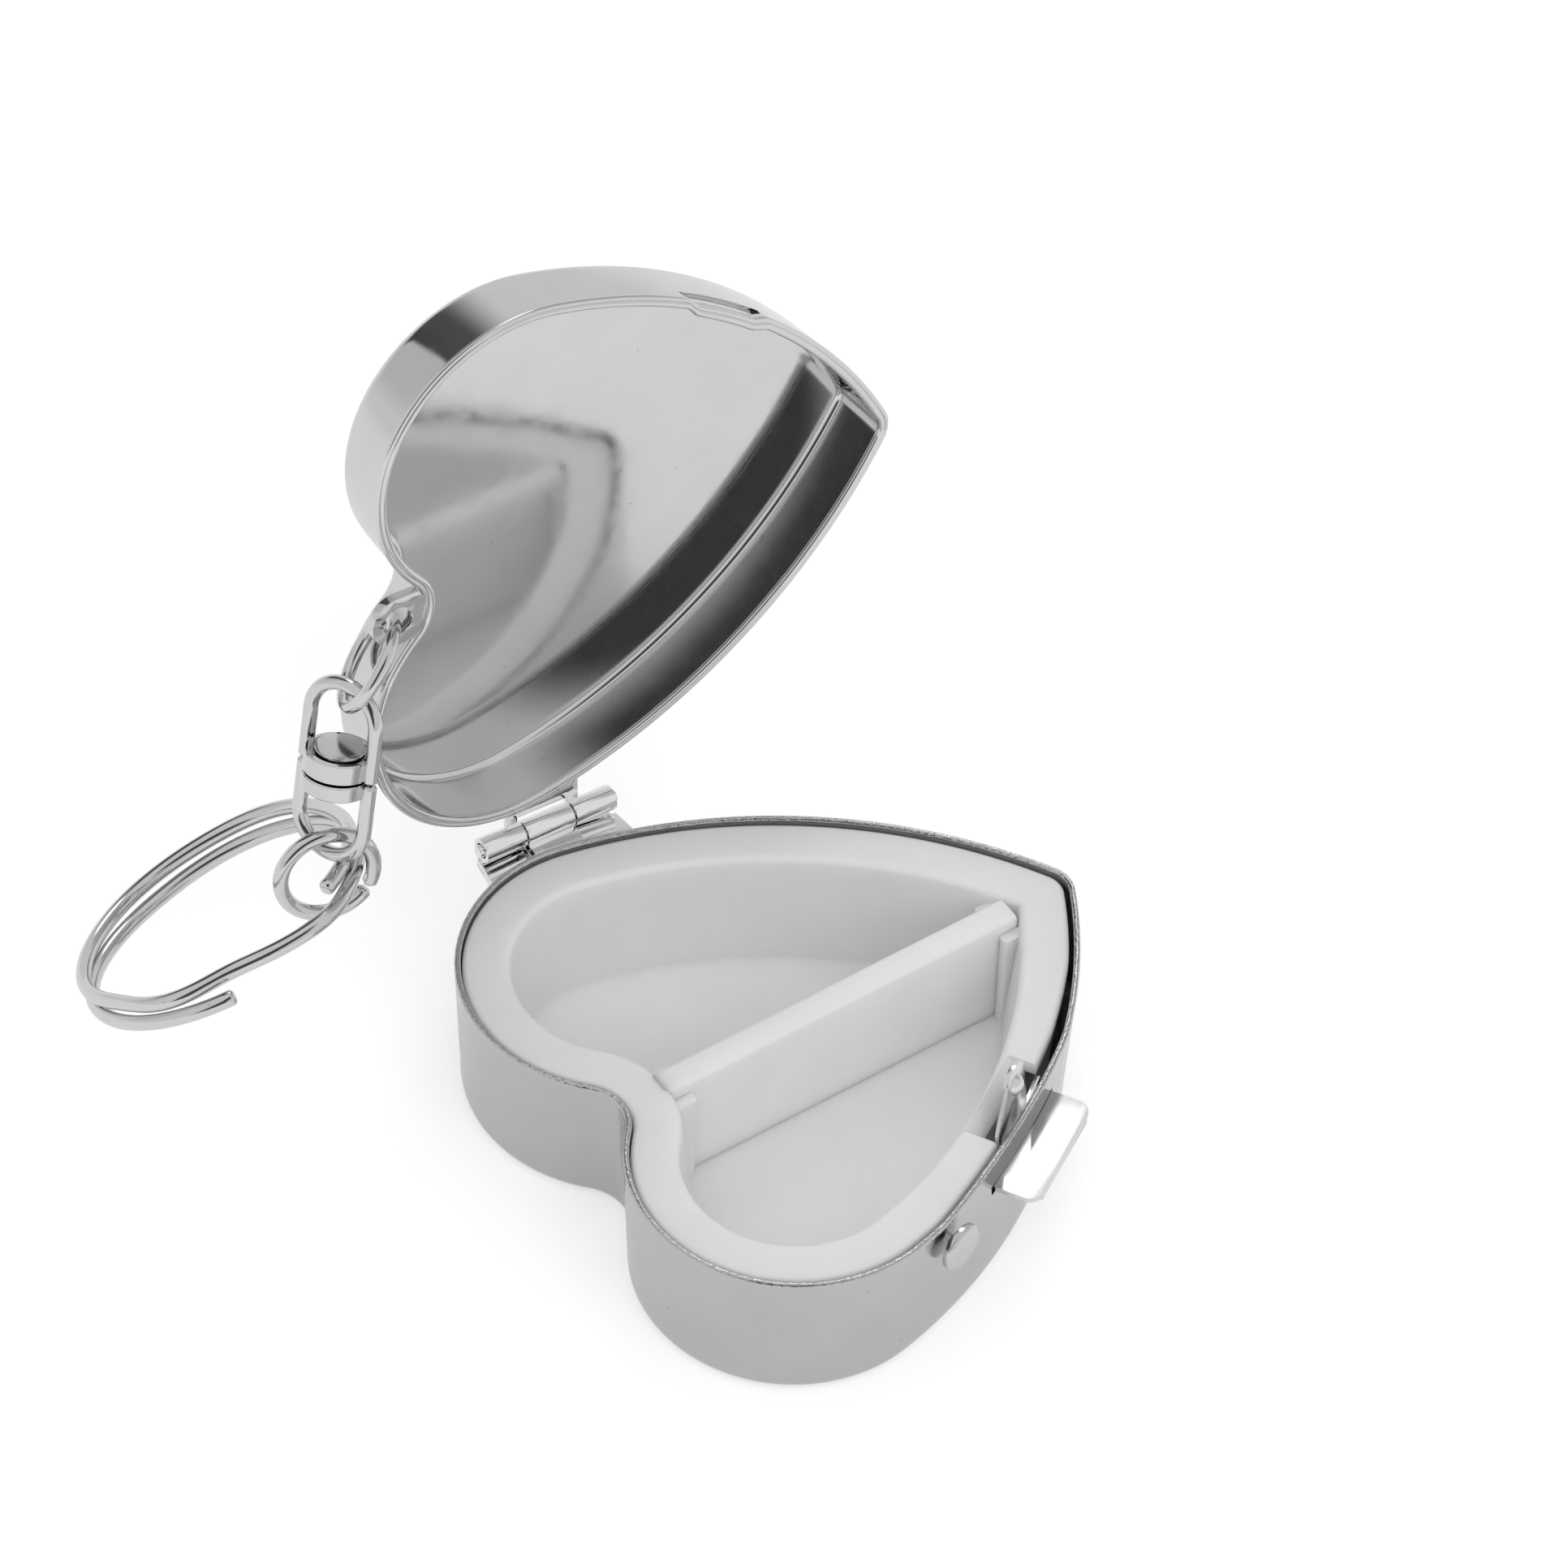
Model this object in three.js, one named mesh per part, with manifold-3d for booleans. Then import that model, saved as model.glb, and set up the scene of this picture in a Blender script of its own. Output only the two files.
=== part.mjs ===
// A heart-shaped pill case: hinged metal case, two-compartment plastic liner, spring latch and key chain.
// Millimetres, +Z up. The origin is the middle of the underside, X runs from the cleft to the tip, and the
// hinge is on the +Y side. The lid stands open and the chain hangs from its lug.

import * as THREE from "three";
import { mergeVertices } from "three/addons/utils/BufferGeometryUtils.js";
import Module from "manifold-3d";

const wasm = await Module();
wasm.setup();

// Heart outline of the base, seen from above
const HEART_WIDTH = 50.0;
const LOBE_RADIUS = 13.3;
const SIDE_RADIUS = 46.5;
const SIDE_START_DEG = 11.6;
const TIP_RADIUS = 2.85;
const CLEFT_RADIUS = 3.6;
const TIP_STEPS = 4;
const SIDE_STEPS = 18;
const LOBE_STEPS = 20;
const CLEFT_STEPS = 5;

// Pressed metal shells
const BASE_HEIGHT = 13.6;
const BASE_DRAFT = 0.7;
const BASE_CORNER = 1.4;
const LID_HEIGHT = 6.15;
const LID_DRAFT = 0.4;
const LID_CORNER = 1.1;
const WALL = 0.45;
const RIM_ROUND = 0.18;
const RIM_GAP = 0.25;

// Base wall pressed flat beside the latch
const DENT_DEPTH = 0.64;
const DENT_FROM_X = -5.0;
const DENT_TO_X = 14.0;
const DENT_LOW_Z = 7.5;

// Plastic liner and its divider
const LINER_TOP_BELOW_RIM = 0.3;
const LINER_SIDE_GAP = 0.45;
const LINER_SEAT_GAP = 0.1;
const FLANGE_WIDTH = 3.9;
const FLANGE_THICKNESS = 1.2;
const LINER_WALL = 0.9;
const LINER_FLOOR = 2.05;
const LINER_INNER_DRAFT = 1.0;
const LINER_EDGE_ROUND = 0.4;
const LINER_FLOOR_ROUND = 0.9;
const INNER_TIP_RADIUS = 0.8;
const DIVIDER_THICKNESS = 2.4;
const DIVIDER_EDGE_ROUND = 0.5;
const DIVIDER_GAP = 0.2;
const DIVIDER_END_GAP = 0.3;
const DIVIDER_SEAT_GAP = 0.1;
const RIB_THICKNESS = 1.0;
const RIB_REACH = 2.2;
const RIB_TOP_BELOW_LINER = 0.9;

// Latch on the front wall, where the wall faces this far from -Y towards the tip
const LATCH_TURN_DEG = 31.0;
const RIVET_TURN_DEG = 16.6;
const STRIP_THICKNESS = 0.4;
const STRIP_HEIGHT = 2.3;
const STRIP_GAP = 0.3;
const STRIP_PAST_RIVET = 1.7;
const STRIP_PAST_TAB = 0.6;
const TONGUE_TOP_WIDTH = 3.3;
const TONGUE_FOOT_WIDTH = 5.2;
const TONGUE_ALONG = 0.8;
const TONGUE_ABOVE_RIM = 4.4;
const TONGUE_ROUND = 1.3;
const TONGUE_LEAN_DEG = 6.0;
const DOME_DIAMETER = 1.9;
const DOME_RISE = 0.6;
const DOME_ABOVE_RIM = 2.5;
const TAB_LENGTH = 10.9;
const TAB_REACH = 2.9;
const TAB_THICKNESS = 0.5;
const TAB_BELOW_RIM = 2.5;
const TAB_CORNER = 1.1;
const TAB_LIP_DROP = 0.45;
const SLIT_GAP = 0.3;
const NOTCH_FOOT_GAP = 0.3;
const NOTCH_END_GAP = 3.8;
const RIVET_HEAD_DIAMETER = 4.0;
const RIVET_HEAD_THICKNESS = 0.7;
const RIVET_STANDOFF = 0.4;
const RIVET_SHANK_DIAMETER = 1.1;
const RIVET_TAIL_DIAMETER = 2.4;
const RIVET_TAIL_THICKNESS = 0.4;
const RIVET_GAP = 0.12;
const STRIP_HOLE_GAP = 0.3;

// Catch lip pressed inward from the lid's wall over the latch dome
const LIP_LENGTH = 9.0;
const LIP_ALONG = 1.6;
const LIP_HEIGHT = 1.0;
const LIP_DEPTH = 0.5;
const LIP_SLIT = 0.4;

// Hinge behind the far lobe
const HINGE_REACH = 2.1;
const HINGE_DROP = 0.05;
const HINGE_MIDDLE_X = -7.6;
const HINGE_SKEW_DEG = -2.6;
const HINGE_TILT_DEG = -1.7;
const OPEN_DEG = 95.8;
const PIN_DIAMETER = 1.1;
const PIN_LENGTH = 12.7;
const PIN_GAP = 0.12;
const KNUCKLE_DIAMETER = 2.1;
const CENTRE_KNUCKLE = 4.3;
const OUTER_KNUCKLE = 3.7;
const KNUCKLE_GAP = 0.15;
const LEAF_THICKNESS = 0.5;
const BASE_LEAF_THICKNESS = 0.9;
const LEAF_ARM_WIDTH = 1.0;
const LEAF_SWING_GAP = 0.25;
const LEAF_WALL_GAP = 0.2;
const LEAF_END_SLANT = 0.9;

// Key lug in the lid's cleft
const LUG_WIDTH = 4.6;
const LUG_THICKNESS = 0.8;
const LUG_HOLE_DIAMETER = 2.7;
const LUG_HOLE_FROM_CLEFT = 2.9;
const LUG_HOLE_INSIDE_LOBES = 1.81;
const LUG_ABOVE_RIM = -0.3;
const LUG_WALL_GAP = 0.2;

// Links of the key chain
const LUG_RING_RADIUS = 3.85;
const LUG_RING_WIRE = 1.1;
const LUG_RING_SAG = 0.3;
const BOW_RADIUS = 3.1;
const BOW_WIRE = 1.2;
const BOW_CENTRES = 8.8;
const COLLAR_DIAMETER = 5.6;
const COLLAR_HEIGHT = 1.2;
const COLLAR_BELOW_ARCH = 3.2;
const SWIVEL_PLATE_HEIGHT = 0.8;
const SWIVEL_GAP = 0.2;
const SWIVEL_HEAD_DIAMETER = 4.1;
const SWIVEL_HEAD_THICKNESS = 0.6;
const SWIVEL_SHANK_DIAMETER = 1.8;
const SWIVEL_TAIL_DIAMETER = 2.8;
const SWIVEL_TAIL_THICKNESS = 0.5;
const LOWER_RING_RADIUS = 3.8;
const LOWER_RING_WIRE = 1.25;
const LOWER_RING_CUT_DEG = 14.0;
const LOWER_RING_CUT_AT_DEG = 298.0;
const SPLIT_RADIUS = 12.1;
const SPLIT_WIRE = 1.0;
const SPLIT_PITCH = 1.42;
const SPLIT_TURNS = 1.85;
const SPLIT_START_DEG = 17.0;
const SPLIT_STEPS_PER_TURN = 40;
const LINK_GAP = 0.3;
const SPLIT_LINK_GAP = 0.8;

// How each link hangs: heading of its lower end, dip below level, turn about its own length
const LUG_RING_POSE = { heading: 180, dip: 54, turn: 34 };
const SWIVEL_POSE = { heading: 219, dip: 71.5, turn: 19.5 };
const LOWER_RING_POSE = { heading: 219.5, dip: 79, turn: 145.5 };
const SPLIT_POSE = { heading: 141.5, dip: 31.5, turn: 15.5 };
const LUG_RING_IN_BOW_DEG = 94;
const SPLIT_IN_RING_DEG = -107;

// Sizes that follow from the ones above
const rad = THREE.MathUtils.degToRad;
const lobeY = HEART_WIDTH / 2 - LOBE_RADIUS;
const sideReach = SIDE_RADIUS - LOBE_RADIUS;
const sideStart = rad(SIDE_START_DEG);
const sideY = lobeY - sideReach * Math.cos(sideStart);
const sideFromLobe = -sideReach * Math.sin(sideStart);
const tipFromLobe = sideFromLobe + Math.sqrt((SIDE_RADIUS - TIP_RADIUS) ** 2 - sideY ** 2);
const lobeX = -(tipFromLobe + TIP_RADIUS - LOBE_RADIUS) / 2;
const sideX = lobeX + sideFromLobe;
const cleftX = lobeX - Math.sqrt((LOBE_RADIUS + CLEFT_RADIUS) ** 2 - lobeY ** 2);
const lidRimZ = BASE_HEIGHT + RIM_GAP;
const lidTopZ = lidRimZ + LID_HEIGHT;
const linerTopZ = BASE_HEIGHT - LINER_TOP_BELOW_RIM;
const linerLowZ = WALL + LINER_SEAT_GAP;
const linerFloorZ = linerLowZ + LINER_FLOOR;
const flangeLowZ = linerTopZ - FLANGE_THICKNESS;
const flangeInset = WALL + LINER_SIDE_GAP;
const linerInnerInset = flangeInset + FLANGE_WIDTH;
const cupInset = linerInnerInset - LINER_WALL;
const stripInset = WALL + DENT_DEPTH + STRIP_GAP;
const tabTopZ = BASE_HEIGHT - TAB_BELOW_RIM;
const tabLowZ = tabTopZ - TAB_THICKNESS;
const stripTopZ = flangeLowZ - STRIP_GAP;
const stripLowZ = stripTopZ - STRIP_HEIGHT;
const tongueEndX = TONGUE_ALONG + TONGUE_TOP_WIDTH / 2;
const tongueFootX = tongueEndX - TONGUE_FOOT_WIDTH;
const rivetZ = (stripTopZ + stripLowZ) / 2;
const hingeMiddle = new THREE.Vector3(HINGE_MIDDLE_X, HEART_WIDTH / 2 + HINGE_REACH, lidRimZ - RIM_GAP / 2 - HINGE_DROP);
const lugMiddleZ = lidRimZ + LUG_ABOVE_RIM + LUG_THICKNESS / 2;
const lugHoleX = Math.min(
  cleftX + CLEFT_RADIUS - LUG_HOLE_FROM_CLEFT,
  lobeX - LOBE_RADIUS + LUG_HOLE_INSIDE_LOBES,
);

// Materials
function metal(color, roughness) {
  return new THREE.MeshStandardMaterial({ color, metalness: 1.0, roughness });
}

function plastic(color, roughness) {
  return new THREE.MeshStandardMaterial({ color, metalness: 0.0, roughness });
}

// Solids and booleans
function solidOf(geometry) {
  const bare = geometry.clone();
  bare.deleteAttribute("normal");
  bare.deleteAttribute("uv");
  const merged = mergeVertices(bare, 1e-4);
  const triVerts = new Uint32Array(merged.index.array);
  const vertProperties = new Float32Array(merged.attributes.position.array);
  return new wasm.Manifold(new wasm.Mesh({ numProp: 3, vertProperties, triVerts }));
}

function geometryOf(solid) {
  const mesh = solid.getMesh();
  const geometry = new THREE.BufferGeometry();
  geometry.setAttribute("position", new THREE.BufferAttribute(new Float32Array(mesh.vertProperties), 3));
  geometry.setIndex(new THREE.BufferAttribute(new Uint32Array(mesh.triVerts), 1));
  geometry.computeVertexNormals();
  return geometry;
}

function part(name, geometry, material) {
  const mesh = new THREE.Mesh(geometry, material);
  mesh.name = name;
  return mesh;
}

function boxBetween(low, high) {
  const size = new THREE.Vector3().subVectors(high, low);
  const middle = new THREE.Vector3().addVectors(low, high).multiplyScalar(0.5);
  return new THREE.BoxGeometry(size.x, size.y, size.z).translate(middle.x, middle.y, middle.z);
}

// Points of one arc, the last one left out
function arcPoints(centre, radius, fromAngle, toAngle, steps, outward) {
  const points = [];
  for (let k = 0; k < steps; k += 1) {
    const angle = fromAngle + ((toAngle - fromAngle) * k) / steps;
    const direction = new THREE.Vector2(Math.cos(angle), Math.sin(angle));
    const point = direction.clone().multiplyScalar(radius).add(centre);
    points.push({ point, normal: direction.multiplyScalar(outward) });
  }
  return points;
}

// One half of the heart moved in by an inset, from the tip to the cleft
function halfHeart(inset) {
  const tipRadius = Math.max(TIP_RADIUS - inset, INNER_TIP_RADIUS);
  const sideRadius = SIDE_RADIUS - inset;
  const tipX = sideX + Math.sqrt((sideRadius - tipRadius) ** 2 - sideY ** 2);
  const tipAngle = Math.atan2(-sideY, tipX - sideX);
  const lobeAngle = Math.PI / 2 - sideStart;
  const cleftAngle = Math.atan2(lobeY, lobeX - cleftX);
  const cleftRadius = CLEFT_RADIUS + inset;
  return [
    ...arcPoints(new THREE.Vector2(tipX, 0), tipRadius, 0, tipAngle, TIP_STEPS, 1),
    ...arcPoints(new THREE.Vector2(sideX, sideY), sideRadius, tipAngle, lobeAngle, SIDE_STEPS, 1),
    ...arcPoints(new THREE.Vector2(lobeX, lobeY), LOBE_RADIUS - inset, lobeAngle, Math.PI + cleftAngle, LOBE_STEPS, 1),
    ...arcPoints(new THREE.Vector2(cleftX, 0), cleftRadius, cleftAngle, 0, CLEFT_STEPS, -1),
    { point: new THREE.Vector2(cleftX + cleftRadius, 0), normal: new THREE.Vector2(-1, 0) },
  ];
}

// Closed ring of the heart at a height; press gives a further inset at a place on the front side
function heartRing(inset, z, press) {
  const upper = halfHeart(inset);
  const lower = upper.slice(1, -1).reverse().map(({ point, normal }) => ({
    point: new THREE.Vector2(point.x, -point.y),
    normal: new THREE.Vector2(normal.x, -normal.y),
  }));
  const far = upper.map(({ point }) => new THREE.Vector3(point.x, point.y, z));
  const near = lower.map(({ point, normal }) => {
    const depth = press ? press(point.x, z) : 0;
    return new THREE.Vector3(point.x - normal.x * depth, point.y - normal.y * depth, z);
  });
  return [...far, ...near];
}

// Closed solid through a stack of rings with flat ends
function stackOf(rings) {
  const count = rings[0].length;
  const positions = rings.flat().flatMap((point) => [point.x, point.y, point.z]);
  const index = [];
  for (let level = 0; level + 1 < rings.length; level += 1) {
    for (let k = 0; k < count; k += 1) {
      const a = level * count + k;
      const b = level * count + ((k + 1) % count);
      index.push(a, b, b + count, a, b + count, a + count);
    }
  }
  const flat = (ring) => ring.map((point) => new THREE.Vector2(point.x, point.y));
  const last = (rings.length - 1) * count;
  for (const [a, b, c] of THREE.ShapeUtils.triangulateShape(flat(rings[0]), [])) {
    index.push(c, b, a);
  }
  for (const [a, b, c] of THREE.ShapeUtils.triangulateShape(flat(rings[rings.length - 1]), [])) {
    index.push(last + a, last + b, last + c);
  }
  const geometry = new THREE.BufferGeometry();
  geometry.setAttribute("position", new THREE.BufferAttribute(new Float32Array(positions), 3));
  geometry.setIndex(index);
  return geometry;
}

function heartPrism(lowInset, lowZ, highInset, highZ) {
  return stackOf([heartRing(lowInset, lowZ), heartRing(highInset, highZ)]);
}

// Profile of a pressed cup as [inset, height] pairs, from its closed end over the rim to its inner floor
function cupProfile(height, draft, corner, levels) {
  const lean = (z) => draft * (1 - z / height);
  const profile = [];
  for (let k = 0; k <= 4; k += 1) {
    const angle = (k * Math.PI) / 8;
    const z = corner * (1 - Math.cos(angle));
    profile.push([lean(z) + corner * (1 - Math.sin(angle)), z]);
  }
  for (const z of levels) {
    profile.push([lean(z), z]);
  }
  const half = RIM_ROUND * (1 - Math.SQRT1_2);
  profile.push([0, height - RIM_ROUND], [half, height - half], [RIM_ROUND, height]);
  profile.push([WALL - RIM_ROUND, height], [WALL - half, height - half], [WALL, height - RIM_ROUND]);
  for (const z of [...levels].reverse()) {
    profile.push([lean(z) + WALL, z]);
  }
  const innerCorner = corner - WALL;
  for (let k = 4; k >= 0; k -= 1) {
    const angle = (k * Math.PI) / 8;
    const z = WALL + innerCorner * (1 - Math.cos(angle));
    profile.push([lean(z) + WALL + innerCorner * (1 - Math.sin(angle)), z]);
  }
  return profile;
}

function smooth(share) {
  const t = Math.min(1, Math.max(0, share));
  return t * t * (3 - 2 * t);
}

// Places on the front wall
function frontWall(turnDeg) {
  const turn = rad(turnDeg);
  return new THREE.Vector3(sideX + SIDE_RADIUS * Math.sin(turn), -sideY - SIDE_RADIUS * Math.cos(turn), 0);
}

function frontFrame(turnDeg) {
  const frame = new THREE.Group();
  frame.position.copy(frontWall(turnDeg));
  frame.rotation.z = rad(turnDeg);
  frame.updateMatrix();
  return frame;
}

function inFrontFrame(geometry, turnDeg) {
  return geometry.applyMatrix4(frontFrame(turnDeg).matrix);
}

const latchFoot = frontWall(LATCH_TURN_DEG);
const lipMiddleX = latchFoot.x + LIP_ALONG * Math.cos(rad(LATCH_TURN_DEG));
const lipHalf = (LIP_LENGTH / 2) * Math.cos(rad(LATCH_TURN_DEG));

function dentPress(x, z) {
  const along = (x - DENT_FROM_X) / (DENT_TO_X - DENT_FROM_X);
  const wave = along > 0 && along < 1 ? Math.sin(Math.PI * along) ** 2 : 0;
  return DENT_DEPTH * Math.sqrt(wave) * smooth((z - DENT_LOW_Z) / (BASE_HEIGHT - DENT_LOW_Z));
}

function lipPress(x, z) {
  const fromRim = z - lidRimZ;
  const across = smooth((lipHalf - Math.abs(x - lipMiddleX)) / (lipHalf / 3));
  return fromRim < LIP_HEIGHT + LIP_SLIT / 2 ? LIP_DEPTH * across : 0;
}

// Base shell
function baseShell() {
  const levels = [BASE_CORNER * 2, DENT_LOW_Z, (DENT_LOW_Z + BASE_HEIGHT) / 2, tabTopZ + SLIT_GAP * 2];
  const rings = cupProfile(BASE_HEIGHT, BASE_DRAFT, BASE_CORNER, levels)
    .map(([inset, z]) => heartRing(inset, z, dentPress));
  const slit = boxBetween(
    new THREE.Vector3(-TAB_LENGTH / 2 - SLIT_GAP, -TAB_REACH, tabLowZ - SLIT_GAP),
    new THREE.Vector3(TAB_LENGTH / 2 + SLIT_GAP, TAB_REACH, tabTopZ + SLIT_GAP),
  );
  const holeRadius = RIVET_SHANK_DIAMETER / 2 + RIVET_GAP;
  const hole = new THREE.CylinderGeometry(holeRadius, holeRadius, TAB_REACH * 2, 12).translate(0, 0, rivetZ);
  return geometryOf(
    solidOf(stackOf(rings))
      .subtract(solidOf(inFrontFrame(slit, LATCH_TURN_DEG)))
      .subtract(solidOf(inFrontFrame(hole, RIVET_TURN_DEG))),
  );
}

// Lid shell, modelled closed over the base
function lidShell() {
  const levels = [LID_HEIGHT / 2, LID_HEIGHT - LIP_HEIGHT - LIP_SLIT, LID_HEIGHT - LIP_HEIGHT];
  const rings = cupProfile(LID_HEIGHT, LID_DRAFT, LID_CORNER, levels)
    .map(([inset, z]) => heartRing(inset, lidTopZ - z, lipPress))
    .reverse();
  const slitLow = lidRimZ + LIP_HEIGHT;
  const slit = boxBetween(
    new THREE.Vector3(LIP_ALONG - LIP_LENGTH / 2, -TAB_REACH, slitLow),
    new THREE.Vector3(LIP_ALONG + LIP_LENGTH / 2, TAB_REACH, slitLow + LIP_SLIT),
  );
  return geometryOf(solidOf(stackOf(rings)).subtract(solidOf(inFrontFrame(slit, LATCH_TURN_DEG))));
}

// Liner tray with its rib pairs and the notch for the latch tongue
function linerTray() {
  const floorInset = linerInnerInset + LINER_INNER_DRAFT;
  const cupFootInset = floorInset - LINER_WALL;
  const round = LINER_EDGE_ROUND;
  const half = round * (1 - Math.SQRT1_2);
  const floorRound = LINER_FLOOR_ROUND;
  const floorHalf = floorRound * (1 - Math.SQRT1_2);
  const rings = [
    [cupFootInset + round, linerLowZ],
    [cupFootInset, linerLowZ + round],
    [cupInset, flangeLowZ],
    [flangeInset, flangeLowZ, dentPress],
    [flangeInset, linerTopZ - round, dentPress],
    [flangeInset + half, linerTopZ - half, dentPress],
    [flangeInset + round, linerTopZ, dentPress],
    [linerInnerInset - round, linerTopZ],
    [linerInnerInset - half, linerTopZ - half],
    [linerInnerInset, linerTopZ - round],
    [floorInset, linerFloorZ + floorRound],
    [floorInset + floorHalf, linerFloorZ + floorHalf],
    [floorInset + floorRound, linerFloorZ],
  ].map(([inset, z, press]) => heartRing(inset, z, press));
  const inWall = LINER_WALL / 2;
  const envelope = solidOf(heartPrism(floorInset - inWall, linerLowZ + round, linerInnerInset - inWall, flangeLowZ));
  const ribLow = DIVIDER_THICKNESS / 2 + DIVIDER_GAP;
  const ribTop = linerTopZ - RIB_TOP_BELOW_LINER;
  const cleftEnd = cleftX + CLEFT_RADIUS + linerInnerInset;
  const tipEnd = innerTipX(linerInnerInset);
  const deep = FLANGE_WIDTH * 2;
  const spans = [[cleftEnd - deep, cleftEnd + RIB_REACH], [tipEnd - RIB_REACH - RIB_THICKNESS, tipEnd + deep]];
  let tray = solidOf(stackOf(rings));
  for (const [fromX, toX] of spans) {
    for (const side of [-1, 1]) {
      const edges = [side * ribLow, side * (ribLow + RIB_THICKNESS)].sort((a, b) => a - b);
      const rib = boxBetween(
        new THREE.Vector3(fromX, edges[0], linerFloorZ - LINER_FLOOR / 2),
        new THREE.Vector3(toX, edges[1], ribTop),
      );
      tray = tray.add(solidOf(rib).intersect(envelope));
    }
  }
  const notch = boxBetween(
    new THREE.Vector3(tongueFootX - NOTCH_FOOT_GAP, -TAB_REACH, flangeLowZ - STRIP_GAP),
    new THREE.Vector3(tongueEndX + NOTCH_END_GAP, cupInset, BASE_HEIGHT),
  );
  return geometryOf(tray.subtract(solidOf(inFrontFrame(notch, LATCH_TURN_DEG))));
}

function innerTipX(inset) {
  const ring = halfHeart(inset);
  return ring[0].point.x;
}

// Divider plate with rounded edges, cut to the drafted ends of the cavity
function divider() {
  const half = DIVIDER_THICKNESS / 2;
  const round = DIVIDER_EDGE_ROUND;
  const low = linerFloorZ + DIVIDER_SEAT_GAP;
  const profile = new THREE.Shape();
  profile.moveTo(-half, low);
  profile.lineTo(half, low);
  profile.lineTo(half, linerTopZ - round);
  profile.absarc(half - round, linerTopZ - round, round, 0, Math.PI / 2, false);
  profile.absarc(round - half, linerTopZ - round, round, Math.PI / 2, Math.PI, false);
  profile.lineTo(-half, low);
  const length = HEART_WIDTH * 2;
  const plate = new THREE.ExtrudeGeometry(profile, { depth: length, bevelEnabled: false, curveSegments: 3 });
  plate.translate(0, 0, -length / 2);
  const turn = new THREE.Matrix4().makeBasis(
    new THREE.Vector3(0, 1, 0),
    new THREE.Vector3(0, 0, 1),
    new THREE.Vector3(1, 0, 0),
  );
  plate.applyMatrix4(turn);
  const floorInset = linerInnerInset + LINER_INNER_DRAFT + DIVIDER_END_GAP + LINER_FLOOR_ROUND;
  const room = heartPrism(floorInset, linerFloorZ, linerInnerInset + DIVIDER_END_GAP, linerTopZ + LINER_EDGE_ROUND);
  return geometryOf(solidOf(plate).intersect(solidOf(room)));
}

// Curved band standing inside the front wall, between two angles and two heights
function frontBand(fromDeg, toDeg, lowZ, highZ, steps) {
  const outer = SIDE_RADIUS - stripInset;
  const inner = outer - STRIP_THICKNESS;
  const shape = new THREE.Shape();
  const place = (radius, deg) => [sideX + radius * Math.sin(rad(deg)), -sideY - radius * Math.cos(rad(deg))];
  shape.moveTo(...place(outer, fromDeg));
  for (let k = 1; k <= steps; k += 1) {
    shape.lineTo(...place(outer, fromDeg + ((toDeg - fromDeg) * k) / steps));
  }
  for (let k = steps; k >= 0; k -= 1) {
    shape.lineTo(...place(inner, fromDeg + ((toDeg - fromDeg) * k) / steps));
  }
  return new THREE.ExtrudeGeometry(shape, { depth: highZ - lowZ, bevelEnabled: false }).translate(0, 0, lowZ);
}

function degreesAlongWall(length) {
  return THREE.MathUtils.radToDeg(length / SIDE_RADIUS);
}

// Latch spring: curved strip, tongue with its dome, and the thumb tab through the slit
function latchSpring() {
  const tabHalf = degreesAlongWall(TAB_LENGTH / 2 + STRIP_PAST_TAB);
  const strip = frontBand(
    RIVET_TURN_DEG - degreesAlongWall(STRIP_PAST_RIVET), LATCH_TURN_DEG + tabHalf, stripLowZ, stripTopZ, 10,
  );
  const holeRadius = RIVET_SHANK_DIAMETER / 2 + STRIP_HOLE_GAP;
  const hole = new THREE.CylinderGeometry(holeRadius, holeRadius, TAB_REACH * 3, 12).translate(0, 0, rivetZ);
  return geometryOf(
    solidOf(strip)
      .add(solidOf(inFrontFrame(latchTongue(), LATCH_TURN_DEG)))
      .add(solidOf(inFrontFrame(thumbTab(), LATCH_TURN_DEG)))
      .subtract(solidOf(inFrontFrame(hole, RIVET_TURN_DEG))),
  );
}

// Tongue: a leaf with a slanted edge and a rounded top, domed towards the wall and leaning inward
function latchTongue() {
  const topZ = BASE_HEIGHT + TONGUE_ABOVE_RIM;
  const footZ = stripTopZ - STRIP_THICKNESS;
  const half = TONGUE_TOP_WIDTH / 2;
  const outline = new THREE.Shape();
  outline.moveTo(tongueFootX, footZ);
  outline.lineTo(tongueEndX, footZ);
  outline.lineTo(tongueEndX, topZ - TONGUE_ROUND);
  outline.absellipse(TONGUE_ALONG, topZ - TONGUE_ROUND, half, TONGUE_ROUND, 0, Math.PI, false, 0);
  outline.lineTo(tongueFootX, BASE_HEIGHT);
  const face = stripInset + TONGUE_ALONG ** 2 / (2 * SIDE_RADIUS);
  const leaf = new THREE.ExtrudeGeometry(outline, { depth: STRIP_THICKNESS, bevelEnabled: false, curveSegments: 8 });
  leaf.rotateX(Math.PI / 2).translate(0, face + STRIP_THICKNESS, 0);
  const domeRadius = (DOME_RISE ** 2 + (DOME_DIAMETER / 2) ** 2) / (2 * DOME_RISE);
  const ball = new THREE.SphereGeometry(domeRadius, 14, 8);
  ball.translate(TONGUE_ALONG, face - DOME_RISE + domeRadius, BASE_HEIGHT + DOME_ABOVE_RIM);
  const outside = boxBetween(
    new THREE.Vector3(TONGUE_ALONG - DOME_DIAMETER, face - DOME_RISE * 2, BASE_HEIGHT),
    new THREE.Vector3(TONGUE_ALONG + DOME_DIAMETER, face + STRIP_THICKNESS / 2, topZ),
  );
  const domed = geometryOf(solidOf(leaf).add(solidOf(ball).intersect(solidOf(outside))));
  return domed
    .translate(0, -face, -stripTopZ)
    .rotateX(-rad(TONGUE_LEAN_DEG))
    .translate(0, face, stripTopZ);
}

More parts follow.
